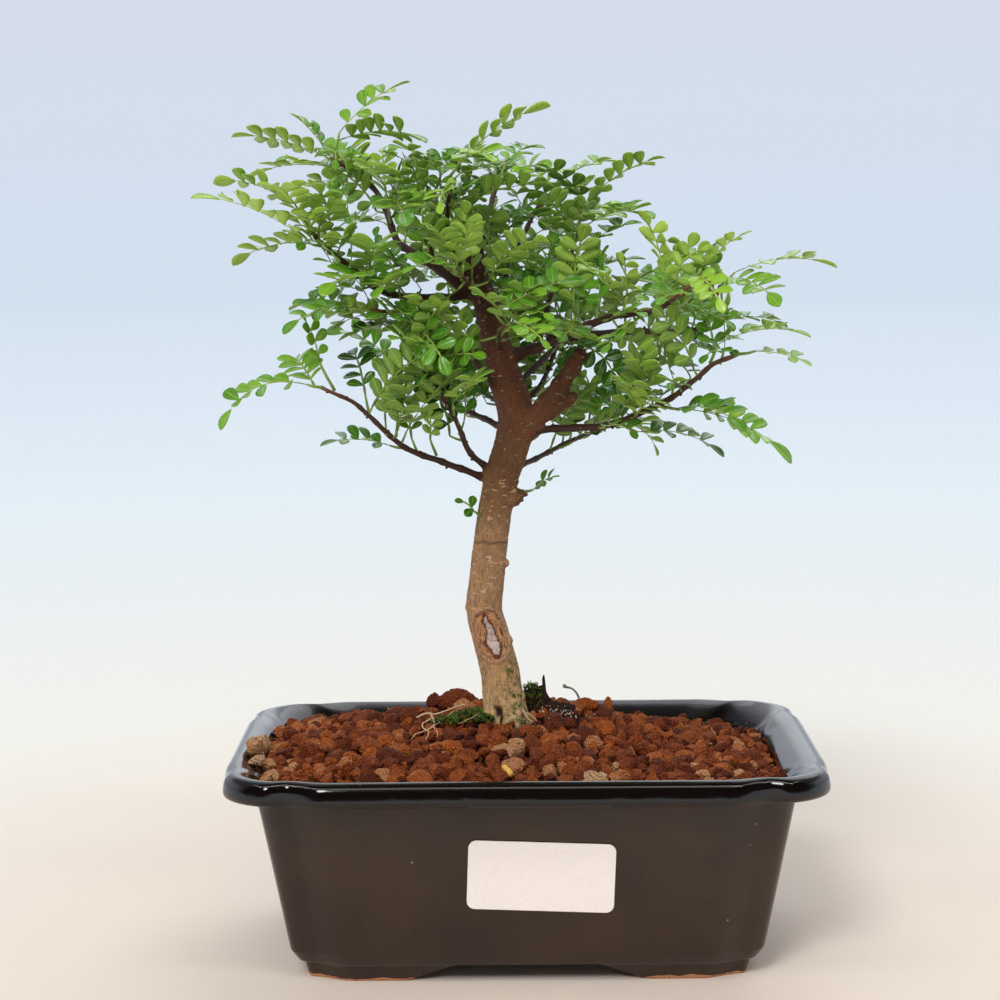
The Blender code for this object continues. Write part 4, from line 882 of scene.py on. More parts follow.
def makeTrunk():
    whole = joinWood()
    points = pointsOf(whole)
    normals = np.empty(len(points) * 3)
    whole.data.vertices.foreach_get("normal", normals)
    normals = normals.reshape(-1, 3)
    knots = [[*centre, radius] for centre, radius in trunk["knots"]]
    toStub = clearOf(points, np.vstack([branchRows("stub_long"), branchRows("stub_short"), knots,
                                        smoothPath(trunk["knotCone"], 0.8)]))
    young = easing(clearOf(points, trunkRows), 0.6, 2.6) * easing(toStub, 0.5, 1.5) * easing(points[:, 2], 120, 138)
    front = easing(-points[:, 1], 0.5, 2.0)
    ripple = np.array([noise.noise(Vector(point) * 0.55) for point in points])
    ringShare, scarLift, healed = scarShape(points, front, ripple)

    lift = np.empty(len(points))
    for at, point in enumerate(points):
        spot = Vector(point)
        fine = noise.fractal(Vector((spot.x * 0.85, spot.y * 0.85, spot.z * 0.17)), 1.0, 2.0, 3)
        broad = noise.noise(spot * 0.16)
        lift[at] = -trunk["fissure"] * abs(fine) + trunk["bulge"] * broad * 0.5 \
            + 0.10 * noise.noise(Vector((spot.x * 0.4, spot.y * 0.4, spot.z * 1.9)))
    low = 1 + 1.5 * easing(-points[:, 2], -80, -70)  # the root is split and rougher
    bare = 1 - 0.8 * (ringShare < 1.1) * (front > 0.4)
    keep = np.where(young > 0.5, 0.35, 1.0)
    rough = np.array([noise.noise(Vector(point) * 0.9) for point in points])
    torn = easing(points[:, 2], 180.5, 184.5) * (toStub < 1.0) * (points[:, 0] > 10)  # broken end of the long stub
    cone = easing(points[:, 0], -2.6, -0.8) * (abs(points[:, 2] - 139) < 5)  # rough end of the right-hand knot
    # Rotten split at the foot of the trunk, darkened as rot and painted shade, and painted shade at the soil
    split = front * np.exp(-((points[:, 0] + 8.2 + 0.3 * (points[:, 2] - 72) + 1.6 * ripple) / 1.7) ** 2
                           - ((points[:, 2] - 71.4) / 3.9) ** 2)
    paintedShadeAtSoil = easing(-points[:, 2] + 2.5 * rough, -70.0, -67.5)
    shift = lift * low * bare * keep + scarLift + (1.3 * torn + 1.0 * cone) * rough - 2.0 * split
    points = points + normals * shift[:, None]
    setPoints(whole, points)
    setNumber(whole, "young", young)
    setNumber(whole, "healed", healed)
    setNumber(whole, "hollow", np.clip(3 * np.clip(split - 0.35, 0, 1) + 0.8 * paintedShadeAtSoil + 0.5 * cone, 0, 1))
    pickOnly(whole)
    bpy.ops.object.shade_smooth()
    dress(whole, [bark], ["trunk"])
    print("trunk faces:", len(whole.data.polygons))


makeTrunk()


def ringTube(batch, rows, sides, tones, flat=1.0, across=None, slot=0):
    # A tube through rows of x, y, z, radius. With across, its section is a wide low diamond.
    rows = np.asarray(rows, float)
    ahead = np.gradient(rows[:, :3], axis=0)
    ahead /= np.linalg.norm(ahead, axis=1)[:, None] + 1e-9
    if across is None:
        first = np.cross(ahead[0], (0.3, 0.5, 0.81))
        wide = [first / np.linalg.norm(first)]
        for way in ahead[1:]:
            turned = wide[-1] - way * np.dot(wide[-1], way)
            wide.append(turned / np.linalg.norm(turned))
        wide = np.array(wide)
    else:
        wide = across - ahead * (ahead @ across)[:, None]
        wide /= np.linalg.norm(wide, axis=1)[:, None]
    tall = np.cross(ahead, wide)
    angles = np.arange(sides) / sides * math.tau
    rings = rows[:, None, :3] + rows[:, 3, None, None] * (
        np.cos(angles)[None, :, None] * wide[:, None] + flat * np.sin(angles)[None, :, None] * tall[:, None])
    count = len(rows)
    faces = tubeFaces(count, sides)
    start = batch["count"]
    batch["points"].append(rings.reshape(-1, 3))
    batch["faces"].extend([tuple(start + corner for corner in face) for face in faces])
    batch["slots"].extend([slot] * len(faces))
    batch["uvs"].append(np.zeros((sum(len(face) for face in faces), 2)))
    batch["tones"].append(np.repeat(np.broadcast_to(tones, (count,)), sides))
    batch["count"] += count * sides


def makeBranches():
    chance = random.Random(21)
    batch = newBatch()
    paths = {}
    for name in branches:
        rows = branchRows(name, 1.2)
        paths[name] = rows
        if name.startswith("stub"):
            continue
        reach = travelled(rows)
        first = np.argmax(fromTrunkLine(rows) > 4.0)
        path = rows[first:].copy()
        along = reach[first:] - reach[first]
        knuckles = np.exp(-((along % twig["knuckle"] - twig["knuckle"] / 2) / 0.9) ** 2)
        path[:, 3] *= 1 + twig["swell"] * knuckles
        for at in range(2, len(path) - 1):
            wave = noise.noise_vector(Vector((along[at] * 0.16, len(name) * 0.37, first * 0.3)))
            path[at, :3] += twig["crook"] * np.array(wave)
        share = along / along[-1]
        tones = 0.22 + 0.20 * share + 0.22 * easing(share, 0.82, 1.0)
        ringTube(batch, path, twig["sides"], tones)
        distance = twig["budEvery"]
        while distance < along[-1] - 2:
            at = int(np.searchsorted(along, distance))
            way = Vector([chance.gauss(0, 1) for _ in range(3)]).normalized()
            start, radius = path[at, :3], path[at, 3]
            bud = [(*(start + np.array(way) * radius * lift), size) for lift, size in twig["bud"]]
            ringTube(batch, bud, 6, twig["budTone"])
            distance += chance.uniform(0.7, 1.4) * twig["budEvery"]
    thing = batchThing("woodyBranches", batch)
    dress(thing, [twigBark], ["trunk"])
    return paths


branchPaths = makeBranches()
print("wood made")

leaflet = {
    "stops": [0.0, 0.12, 0.28, 0.48, 0.68, 0.86, 1.0], "halfWidths": [0.08, 0.20, 0.36, 0.48, 0.50, 0.38, 0.13],
    "columns": 4, "thickness": 0.035, "cup": 0.16, "droop": 0.10,
}
frond = {
    "lean": 24, "leanSpread": 0.12, "fold": 0.30, "foldSpread": 0.28, "twist": 22,  # of the leaflets
    "firstPair": 0.15, "lastPair": (0.74, 0.79), "pairPitch": 4.5, "pairReach": 0.62, "stray": 0.06, "lost": 0.03,
    "size": 2.7, "sizePerLength": 0.15, "least": 4.6, "leastAlone": 3.9, "most": 8.0, "mostAtTip": 9.5,
    "firstSizes": (0.78, 0.95, 1.0), "lastSize": 0.94, "longer": (0.92, 1.06), "broader": (0.90, 1.04),
    "coverage": 1.02, "broadest": 0.72, "bow": 0.04,
    "ribHalf": 0.38, "ribWings": (0.75, 1.15), "ribFlat": 0.42, "stemRadius": 0.42, "stemSag": 0.04,
}


def modelLeaflet():  # one unit long on X, one unit across at its widest
    rows = len(leaflet["stops"]) - 1
    blade = addShape(bpy.ops.mesh.primitive_grid_add, x_subdivisions=rows, y_subdivisions=leaflet["columns"], size=1)
    for vert in blade.data.vertices:
        row = round((vert.co.x + 0.5) * rows)
        across = vert.co.y * 2
        along, half = leaflet["stops"][row], leaflet["halfWidths"][row]
        bend = leaflet["cup"] * abs(across) ** 1.3 * half - leaflet["droop"] * along ** 2
        if row == rows:
            along -= 0.03 * across * across
        vert.co = Vector((along, across * half, bend)) * mm
    wall = blade.modifiers.new("wall", "SOLIDIFY")
    wall.thickness, wall.offset = leaflet["thickness"] * mm, -1
    wall.material_offset, wall.material_offset_rim = 1, 1
    for material in leafKit:
        blade.data.materials.append(material)
    applyAll(blade)
    return shapeOf(blade)


leafletShape = modelLeaflet()


def frondFrame(base, tip, roll):
    ahead = (tip - base).normalized()
    up = Vector((0, 0, 1)) - ahead * ahead.z
    up = up.normalized() if up.length > 0.05 else Vector((0, -1, 0))
    across = ahead.cross(up)
    if across.y > 0 or (abs(across.y) < 1e-6 and across.x < 0):
        across = -across
    turn = math.radians(roll)
    side = across * math.cos(turn) - up * math.sin(turn)
    face = up * math.cos(turn) + across * math.sin(turn)
    return ahead, up, side, face


def growFrond(batch, base, tip, roll, arch, tone, chance, planned=0):
    ahead, up, side, face = frondFrame(base, tip, roll)
    length = (tip - base).length
    alone = planned == 1
    pairs = 1 if alone else max(2, planned, round(frond["pairReach"] * length / frond["pairPitch"]) + 1)
    end = chance.uniform(*frond["lastPair"])
    spacing = (end - frond["firstPair"]) * length / max(1, pairs - 0.35)
    least = frond["leastAlone"] if alone else frond["least"]
    size = min(frond["most"], max(least, frond["sizePerLength"] * length + frond["size"]))
    bow = chance.uniform(-frond["bow"], frond["bow"]) * length

    def spot(share):
        return base + ahead * length * share + (up * arch + side * bow) * 4 * share * (1 - share)

    def addLeaflet(root, out, normal, long, broad):
        normal = (normal - out * normal.dot(out)).normalized()
        normal = Matrix.Rotation(math.radians(chance.uniform(-1, 1) * frond["twist"]), 3, out) @ normal
        place = placement(root, out * long, normal.cross(out) * broad, normal * long)
        addCopy(batch, leafletShape, place, tone + chance.gauss(0, 0.05))

    lean = math.radians(frond["lean"])
    for pair in range(pairs):
        share = frond["firstPair"] + spacing * pair / length
        growth = frond["lastSize"] if pair == pairs - 1 else frond["firstSizes"][min(pair, 2)]
        for way in (-1, 1):
            if chance.random() < frond["lost"]:
                continue
            here = share + chance.uniform(-frond["stray"], frond["stray"]) * spacing / length
            root = spot(here) + side * way * 0.2
            fold = frond["fold"] + chance.uniform(-1, 1) * frond["foldSpread"]
            tilt = lean + chance.uniform(-frond["leanSpread"], frond["leanSpread"])
            out = side * way * math.cos(lean) + ahead * math.sin(tilt) + face * fold
            long = size * growth * chance.uniform(*frond["longer"])
            broad = min(frond["coverage"] * spacing, frond["broadest"] * long) * chance.uniform(*frond["broader"])
            addLeaflet(root, out.normalized(), face - side * way * 0.25, long, broad)
    last = min(max(length * (1 - end), 0.75 * size), frond["mostAtTip"])
    final = (tip - spot(1 - last / length)).normalized()
    addLeaflet(tip - final * last, final, face + up * 0.1, last, min(0.62 * last, 0.8 * size))
    stations = np.linspace(0, 1 - 0.82 * last / length, 2 * pairs + 3)
    rows = [(*spot(share), frond["ribHalf"] * frond["ribWings"][number % 2] * (1 - 0.35 * share))
            for number, share in enumerate(stations)]
    tones = np.clip(0.42 + 0.5 * tone + 0.2 * stations - 0.25 * (stations < 0.12), 0, 1)
    ringTube(batch, rows, 4, tones, flat=frond["ribFlat"], across=np.array(side), slot=2)
    return [spot(share) for share in (0.25, 0.5, 0.75, 1.0)]


def growStem(batch, start, end, tone, radius=frond["stemRadius"]):
    middle = (start + end) / 2 + Vector((0, 0, -frond["stemSag"])) * (end - start).length
    inside = start - (end - start).normalized() * 1.2  # it starts under the bark
    rows = smoothPath([(*inside, radius * 1.2), (*start, radius * 1.15), (*middle, radius),
                       (*end, radius * 0.8)], 1.2)
    share = np.linspace(0, 1, len(rows))
    ringTube(batch, rows, 6, np.clip(0.22 + 0.35 * share + 0.25 * tone, 0, 1), slot=2)


# Leafy shoots: where the stem starts and ends, then each frond's tip, roll, pairs and arch
shoots = {
    "low_left_end": ((-59.5, -35.2, 175.1), (-63, -37, 176), [(-88, -46, 164, 10, 4, 6), (-69, -12, 183, 20, 3, 2)]),
    "low_left_rise": ((-55.9, -32.5, 174.9), (-59.6, -33.7, 182.4), [(-65, -34, 197, 40, 3, 1)]),
    "low_left_lift": ((-45.9, -24.9, 167.1), (-47, -22, 172), [(-52, -4, 185, 30, 3, 2)]),
    "low_left_mid": ((-37.9, -21.7, 160.2), (-37, -28, 167), [(-28, -44, 177, 20, 3, 2)]),
    "low_left_drop": ((-36.4, -16, 155.4), (-40, -15, 156), [(-61, -19, 157, 15, 4, 2)]),
    "low_left_bud": ((-26.6, -13.1, 153.8), (-28, -16, 158), [(-28, -21, 168, 30, 2, 1)]),
    "rising_end": ((-28.1, -22.4, 178.4), (-29, -26, 183),
                   [(-38, -48, 190, 25, 3, 2), (-11.1, -38.2, 183.9, 48.1, 3, 2)]),
    "rising_side": ((-20.8, -17.1, 165.9), (-21, -22, 169), [(-12, -46, 178, 20, 3, 2)]),
    "back_left_end": ((-33.5, 44.4, 168.5), (-39, 48, 174), [(-64, 56, 188, 25, 4, 4), (-42, 60, 158, 10, 3, 2)]),
    "mid_left_end": ((-45.5, -28.2, 197.1), (-50, -30, 198),
                     [(-69.8, -40.1, 191.3, 18.2, 4, 3), (-70.1, -12.1, 197.4, 21.9, 3, 2)]),
    "mid_left_side": ((-25.3, -18.1, 190.7), (-27, -24, 193), [(-45, -46, 196, 25, 3, 2)]),
    "mid_left_front": ((-15.1, -12.1, 181.8), (-16, -24, 184), [(-34, -41.7, 202.4, -2.6, 3, 3)]),
    "far_left": ((-59.7, -31.5, 216.2), (-61.1, -33.7, 216.5),
                 [(-95, -42, 231, -5, 5, 3), (-86, -20, 211, -15, 4, 3)]),
    "upper_left_end": ((-62.4, -34.1, 222.5), (-65, -35, 226),
                       [(-90, -28, 235, -25, 4, 3), (-70.8, -59.2, 234, 1.6, 3, 2)]),
    "upper_left_front": ((-44.6, -16.4, 204.2), (-46, -26, 206),
                         [(-57, -56, 203, 10, 3, 3), (-40.2, -55.4, 217.3, 6.1, 3, 3)]),
    "upper_left_inner": ((-34.9, -9.9, 201.2), (-36, -20, 203), [(-42.3, -49.1, 202.2, -17.6, 3, 3)]),
    "crown_end": ((-56.7, 2, 243.1), (-55, 2, 250), [(-34, 8, 266, 20, 5, 2), (-28, -16, 247, -20, 4, 3)]),
    "crown_left": ((-54.6, 6.1, 240.2), (-60, 8, 243), [(-89, 14, 250, -25, 4, 2), (-69.7, 1.2, 256.2, 24.5, 2, 1)]),
    "crown_back": ((-47.9, 11.6, 235.2), (-53, 20, 238), [(-86, 36, 238, 5, 4, 3), (-56, 48, 246, 10, 3, 3)]),
    "crown_front": ((-40.1, 6.5, 223), (-40, -10, 229),
                    [(-46, -40, 239, 20, 4, 3), (-33.3, -49.9, 222.6, 6.5, 3, 3)]),
    "spur_a_end": ((-25.8, -8.3, 232.4), (-24, -12, 237), [(-39, -26, 245, 15, 4, 2), (-12, -8, 246, 0, 3, 2)]),
    "spur_b_end": ((-20.6, -30.4, 236.5), (-18, -33, 240), [(8, -26, 257, -20, 5, 2), (-8, -56, 240, 10, 3, 3)]),
    "leader_end": ((-6.8, 4.3, 235.4), (-5, 8, 240), [(6, 24, 246, 10, 3, 2), (-24.1, 29, 242.6, 8.8, 4, 3)]),
    "middle_rising_end": ((9.2, 30.2, 231.3), (12, 33, 235),
                          [(31, 44, 242, 0, 4, 2), (-0.8, 52.1, 242, 29.9, 3, 2)]),
    "right_rising_end": ((18.4, -0.3, 225.7), (21, -2, 230), [(43, -8, 242, -15, 4, 2), (4, -12, 240, -15, 4, 2)]),
    "right_rising_side": ((16.3, -4.4, 217.4), (19, -12, 221), [(38, -36, 224, 0, 4, 3)]),
    "right_upper_end": ((48.4, -42.1, 204.6), (51, -43, 209), [(65, -48, 220, -5, 3, 1), (56, -60, 197, 20, 3, 3)]),
    "right_upper_rise": ((40.5, -38.3, 199.7), (41, -44, 204), [(33, -55, 226, 20, 4, 2)]),
    "right_upper_inner": ((27.2, -28.5, 196.1), (27, -36, 201), [(16, -56, 210, 15, 3, 2)]),
    "far_right": ((60.4, -6.2, 203.4), (64, -8, 207), [(95, -8, 209, 5, 5, 3), (74.8, -30.4, 198, 17.3, 3, 2)]),
    "right_middle_side": ((56.9, -1.9, 192.8), (62, 2, 192), [(82, 8, 190, 10, 3, 2)]),
    "right_middle_back": ((42.7, 3.1, 189.5), (47, 16, 193),
                          [(64, 38, 206, 10, 4, 3), (38.9, 35.9, 208.5, 19.4, 3, 2)]),
    "right_low_end": ((62.5, -39.2, 184.1), (67, -41, 185), [(83, -44, 181, 10, 3, 1)]),
    "right_low_rise": ((54.4, -38.7, 182.4), (56, -41, 187), [(82, -50, 190, -5, 4, 3), (50, -34, 203, 25, 3, 2)]),
    "right_low_drop": ((41.6, -31.9, 168.3), (47, -36, 168), [(78, -42, 153, 25, 5, 4), (62, -60, 164, 10, 3, 3)]),
    "right_low_under": ((29.6, -21.6, 162.4), (34, -20, 160),
                        [(60, -22, 153, 10, 4, 3), (41.9, 0.1, 160, 1.7, 3, 2)]),
    "right_low_front": ((32.6, -27.9, 166.5), (32, -34, 169), [(28, -56, 178, 15, 3, 2)]),
    "lowest_end": ((29.4, 42.3, 157), (33, 45, 157), [(45, 54, 146, 10, 3, 3)]),
    "back_right_high_end": ((25.2, 42.3, 191.2), (28, 46, 193), [(50, 58, 199, 10, 4, 2)]),
    "back_right_end": ((14.2, 48.4, 190.4), (16, 52, 194), [(26, 58, 214, 10, 3, 2)]),
    "front_low_end": ((-4.9, -40.4, 193.1), (-4, -45, 194), [(7, -59, 187, 10, 3, 2), (-14, -60, 203, 10, 3, 2)]),
    "front_high_end": ((-19.1, -38.4, 208.2), (-20, -43, 210),
                       [(-34, -59, 209, 10, 3, 2), (-14.5, -57, 222.6, 4.8, 3, 2)]),
    "back_middle_end": ((-0.9, 44.4, 196.2), (0, 49, 198),
                        [(12, 59, 212, 10, 3, 2), (-20.3, 54.9, 201.7, 33.7, 3, 2)]),
    "back_high_end": ((-23.1, 44.3, 208.1), (-25, 49, 210), [(-43, 58, 217, 10, 3, 2), (-18, 59, 226, 10, 3, 2)]),
    "back_low_end": ((-15.2, 44.5, 169.2), (-17, 49, 171), [(-32, 59, 179, 10, 3, 2)]),
    "right_knot_tuft": ((0.2, -3.0, 140.6), (3, -5.5, 141.4), [(11, -8, 146, 20, 3, 1)]),
    "left_knot_tuft": ((-12.9, -3.7, 133.5), (-15.2, -6, 135), [(-21, -7, 138.6, 60, 1, 1)]),
}


def growthAndLightTone(point, chance):  # lighter high and outside: partly new growth, partly painted light; painted shade inside
    out = math.hypot((point[0] + 5) / 90, point[1] / 60)
    high = (point[2] - 150) / 110
    return min(0.85, max(0.10, 0.14 + 0.33 * out + 0.28 * high + chance.gauss(0, 0.10)))


ribSpots = []


def makeShoots():
    for name, (start, end, fronds) in shoots.items():
        chance = random.Random("looks of " + name)
        batch = newBatch()
        start, end = Vector(start), Vector(end)
        tufted = 0.2 if name.endswith("tuft") else 0  # the tufts low on the trunk stand in the light
        growStem(batch, start, end, growthAndLightTone(end, chance))
        for number, (x, y, z, roll, pairs, arch) in enumerate(fronds):
            base = end.lerp(start, min(0.6, 2.6 * number / (end - start).length))
            tip = Vector((x, y, z))
            ribSpots.extend(growFrond(batch, base, tip, roll, arch, growthAndLightTone(tip, chance) + tufted, chance, pairs))
        thing = batchThing("shoot_" + name, batch)
        dress(thing, leafKit, [name])


makeShoots()
print("shoots made")

# More fronds fill the crown, inside its outline as x and z at the trunk's depth.
extra = {
    "outline": [(-69.6, 244.8), (-57.7, 248.5), (-46.4, 249.4), (-37.8, 244.8), (-25.6, 244.8), (-13.4, 245.4),
                (-1.1, 241.7), (11.1, 239.3), (20.2, 236.8), (29.4, 232.6), (38.6, 228), (47.7, 225.8),
                (55.4, 220.9), (64.5, 216.7), (69.7, 210.5), (68.5, 203.5), (62.4, 198.9), (66.7, 191.3),
                (64.5, 183), (53.9, 176.9), (50.8, 168.3), (43.2, 160.7), (35.5, 156.1), (23.3, 156.1),
                (11.1, 159.1), (6.5, 165.2), (-7.3, 168.3), (-16.4, 168.3), (-25.6, 162.2), (-31.7, 159.1),
                (-37.8, 160.7), (-42.4, 168.3), (-39.3, 177.5), (-47, 185.1), (-59.2, 183.6), (-68.4, 185.1),
                (-72.9, 191.3), (-68.4, 198.9), (-59.2, 203.5), (-62.2, 210.5), (-71.4, 214.2), (-73.9, 221.9),
                (-77.5, 228), (-72.9, 235.6), (-73.5, 240.2)],
    "eye": (-7.2, -760, 222.4),  # the camera's place
    "nodeEvery": 3.8, "apart": 3.4, "tries": 40, "halfY": 60.5, "length": (16, 30), "stemRadius": 0.36, "seed": 77,
    # Wood that stays in view: two branches, and the trunk between two heights with the long stub on its right
    "bareBranches": ("steep_left", "upper_left"), "bareShare": 0.75, "bareHalf": 3.4,
    "bareLow": 150, "bareHigh": 210, "bareLeft": 9, "stubTop": 186, "bareRight": 24, "bareRightAbove": 8,
}


def insideOutline(point):
    eyeX, eyeY, eyeZ = extra["eye"]
    share = -eyeY / (point[1] - eyeY)
    x, z = eyeX + (point[0] - eyeX) * share, eyeZ + (point[2] - eyeZ) * share
    inside = False
    corners = extra["outline"]
    for (ax, az), (bx, bz) in zip(corners, corners[1:] + corners[:1]):
        if (az > z) != (bz > z) and x < ax + (z - az) / (bz - az) * (bx - ax):
            inside = not inside
    return inside


def hidesWood(point):
    for name in extra["bareBranches"]:
        rows = branchPaths[name][:int(extra["bareShare"] * len(branchPaths[name]))]
        beside = np.hypot(rows[:, 0] - point[0], rows[:, 2] - point[2])
        if beside.min() < extra["bareHalf"] and point[1] < rows[beside.argmin(), 1] + 1:
            return True
    if point[1] > 4 or not extra["bareLow"] < point[2] < extra["bareHigh"]:
        return False
    middle = np.interp(point[2], trunkRows[:, 2], trunkRows[:, 0])
    right = extra["bareRight"] if point[2] < extra["stubTop"] else extra["bareRightAbove"]
    return -extra["bareLeft"] < point[0] - middle < right


def planSpray(root, ahead, turn, chance):  # where a stem ends and its frond heads and ends, if there is room for it
    wide = ahead.orthogonal().normalized()
    for _ in range(extra["tries"]):
        sideways = Matrix.Rotation(turn + chance.uniform(-0.9, 0.9), 3, ahead) @ wide
        growth = (sideways * chance.uniform(0.5, 1.1) + ahead * chance.uniform(0.1, 0.9)
                  + Vector((0, 0, chance.uniform(-0.25, 0.55)))).normalized()
        end = root + growth * chance.uniform(2.0, 6)
        length = chance.uniform(*extra["length"])
        sway = Vector((chance.gauss(0, 0.35), chance.gauss(0, 0.35), chance.gauss(0, 0.25)))
        heading = (growth + sway).normalized()
        tip = end + heading * length
        spots = [end.lerp(tip, share) for share in (0.3, 0.55, 0.8, 1.0)]
        if abs(tip.y) > extra["halfY"] or not all(insideOutline(spot) for spot in (spots[0], spots[2], tip)):
            continue
        if any(hidesWood(spot) for spot in spots):
            continue
        if min((spot - other).length for spot in spots for other in ribSpots) >= extra["apart"]:
            return end, heading, tip
    return None


def makeExtras():
    chance = random.Random(extra["seed"])
    total = 0
    for name, rows in branchPaths.items():
        if name.startswith("stub"):
            continue
        reach = travelled(rows)
        batch = newBatch()
        distance, turn = 0.30 * reach[-1], chance.uniform(0, math.tau)
        while distance < reach[-1] - 1:
            at = min(len(rows) - 2, int(np.searchsorted(reach, distance)))
            root = Vector(rows[at, :3])
            ahead = Vector(rows[at + 1, :3] - rows[at, :3]).normalized()
            found = planSpray(root, ahead, turn, chance)
            if found:
                end, heading, tip = found
                tone = growthAndLightTone(end.lerp(tip, 0.55), chance)
                growStem(batch, root, end, tone, extra["stemRadius"])
                roll = chance.uniform(-33, 33) if abs(heading.z) < 0.6 else chance.uniform(-90, 90)
                ribSpots.extend(growFrond(batch, end, tip, roll, chance.uniform(1, 4), tone, chance))
                total += 1
            turn += 2.4
            distance += chance.uniform(0.8, 1.2) * extra["nodeEvery"]
        if batch["count"]:
            thing = batchThing("sprays_" + name, batch)
            dress(thing, leafKit)
    print("extra fronds:", total)


makeExtras()

mossPatches = [  # centre x, y, half width, half depth, blades, lift over the soil
    (-16.5, -3.0, 7.5, 5.0, 420, 1.9), (-24.5, -5.5, 5.0, 3.5, 260, 1.2), (2.2, 6.0, 4.0, 3.8, 340, 7.2),
    (-12.5, -6.0, 3.0, 2.5, 160, 1.2),
]
scraps = {  # centre, half sizes, tone
    "clod": ((-21, 17, 72.2), (6.2, 4.2, 3.5), 0.34), "smallClod": ((-28.5, 18, 71.8), (2.6, 2.4, 2.3), 0.27),
    "mossyHump": ((3.4, 7.5, 70.5), (6.4, 5.0, 7.4), 0.08), "paleLump": ((-19.0, 4, 72.4), (3.4, 2.6, 2.6), 0.68),
    "darkHump": ((-17.5, -1.5, 68.8), (9.5, 5.0, 3.0), 0.06), "wetSoil": ((10.5, 6.5, 67.4), (9.5, 5.5, 5.6), 0.05),
    "barkScrap": ((19, 14, 71.0), (5.0, 2.0, 2.0), 0.50), "barkScrapEnd": ((26.5, 15, 70.4), (1.6, 1.5, 2.6), 0.55),
    "clodLeft": ((-36, 8, 68.4), (4.2, 3.2, 3.0), 0.30),
}
rootlets = [  # points with the height over the soil, then radius
    ([(-33.5, -1, 2.2), (-30.6, -1, 3.0), (-27.5, -1, 2.4), (-24.5, 0, 2.8), (-21.4, 0, 3.6), (-18.4, 0, 4.2)], 0.32),
    ([(-29.2, -2, 3.4), (-28.6, -3.6, 2.4), (-27.9, -7, 1.6), (-28.6, -10.5, 1.4), (-30.4, -12.5, 1.2),
      (-33.8, -14.5, 1.1)], 0.36),
    ([(-28.8, -4, 2.2), (-31.4, -7, 1.6), (-31.0, -11, 1.4), (-29.4, -14.6, 1.4), (-30.2, -20, 1.2)], 0.24),
    ([(-28.0, -11, 1.5), (-26.6, -16, 1.2), (-26.8, -18.5, 1.1)], 0.22),
    ([(-33.4, -14.4, 1.2), (-34.6, -18, 1.0)], 0.18),
    ([(-22, -3, 3.2), (-25.5, -6, 1.8), (-29, -12, 1.4)], 0.20),
    ([(-0.8, -5.2, 4.0), (0.9, -6.6, 1.9), (2.2, -8.0, 1.0)], 0.42),
    ([(0.4, -4.6, 3.0), (2.6, -5.2, 1.8), (3.6, -6.2, 1.0)], 0.20),
    ([(-13.8, -4.6, 2.6), (-16.8, -7, 1.8), (-20.4, -9.5, 1.3)], 0.18),
]


def makeClods(chance):
    batch = newBatch()
    ball = shapeOf(addShape(bpy.ops.mesh.primitive_ico_sphere_add, subdivisions=4, radius=mm))
    grain = shapeOf(addShape(bpy.ops.mesh.primitive_ico_sphere_add, subdivisions=1, radius=mm))
    for centre, halves, tone in scraps.values():
        points, shift = [], Vector(centre) * 0.37
        for point in ball["points"]:
            spot = Vector(point)
            spot = spot * (1 + 0.22 * noise.noise(spot * 1.5 + shift) + 0.14 * noise.noise(spot * 4 + shift)
                           + 0.08 * noise.noise(spot * 9 + shift))
            points.append((spot.x * (1 - 0.28 * spot.z), spot.y * (1 - 0.28 * spot.z), spot.z))
        addCopy(batch, {**ball, "points": np.array(points)}, placement(centre, *np.diag(halves)), tone)
    for _ in range(60):  # white grains of feed on the wet soil
        x, y = chance.gauss(12, 4.5), chance.gauss(2.5, 3.0)
        size = np.eye(3) * chance.uniform(0.14, 0.32)
        spot = (x, y, soilHeight(x, y) + 1.6 + chance.uniform(0, 1.2))
        addCopy(batch, grain, placement(spot, *size), chance.uniform(0.9, 1.15))
    dress(batchThing("clodsAndScraps", batch), [clay])


def makeRootlets(chance):
    batch = newBatch()
    for route, radius in rootlets:
        rows = [(x, y, soilHeight(x, y) + lift, radius) for x, y, lift in route]
        path = smoothPath(rows, 0.7)
        path[:, 3] *= np.linspace(1.15, 0.55, len(path))
        for at in range(len(path)):
            path[at, :3] += 0.16 * np.array(noise.noise_vector(Vector(path[at, :3]) * 0.8))
        ringTube(batch, path, 6, chance.uniform(0.4, 0.8))
    roots = batchThing("rootlets", batch)
    dress(roots, [plainGrowth("dryRootlet", "8C5F41", "D8B592", 1.2)])


def makeMoss(chance):
    batch = newBatch()
    for x, y, halfX, halfY, blades, lift in mossPatches:
        for _ in range(blades):
            angle, out = chance.uniform(0, math.tau), math.sqrt(chance.random())
            bx, by = x + halfX * out * math.cos(angle), y + halfY * out * math.sin(angle)
            if math.hypot(bx - soil["trunkX"], by) < 6.2:
                continue  # under the trunk
            rise = lift * (1 - out * out) + 0.6
            root = Vector((bx, by, soilHeight(bx, by) + rise))
            way = Vector((chance.gauss(0, 0.6) + 0.4 * math.cos(angle), chance.gauss(0, 0.6) - 0.35, 1)).normalized()
            long = chance.uniform(0.9, 2.1)
            bend = Vector((chance.gauss(0, 0.4), chance.gauss(0, 0.4), -0.3))
            rows = [(*root, 0.13), (*(root + way * long * 0.5), 0.19), (*(root + way * long + bend * 0.5), 0.03)]
            ringTube(batch, rows, 3, min(1, max(0, chance.gauss(0.26, 0.26) + 0.15 * (1 - out))))
    moss = batchThing("mossCushions", batch)
    dress(moss, [plainGrowth("livingMoss", "161E08", "7C9C2A", 3.0, 0.6)])


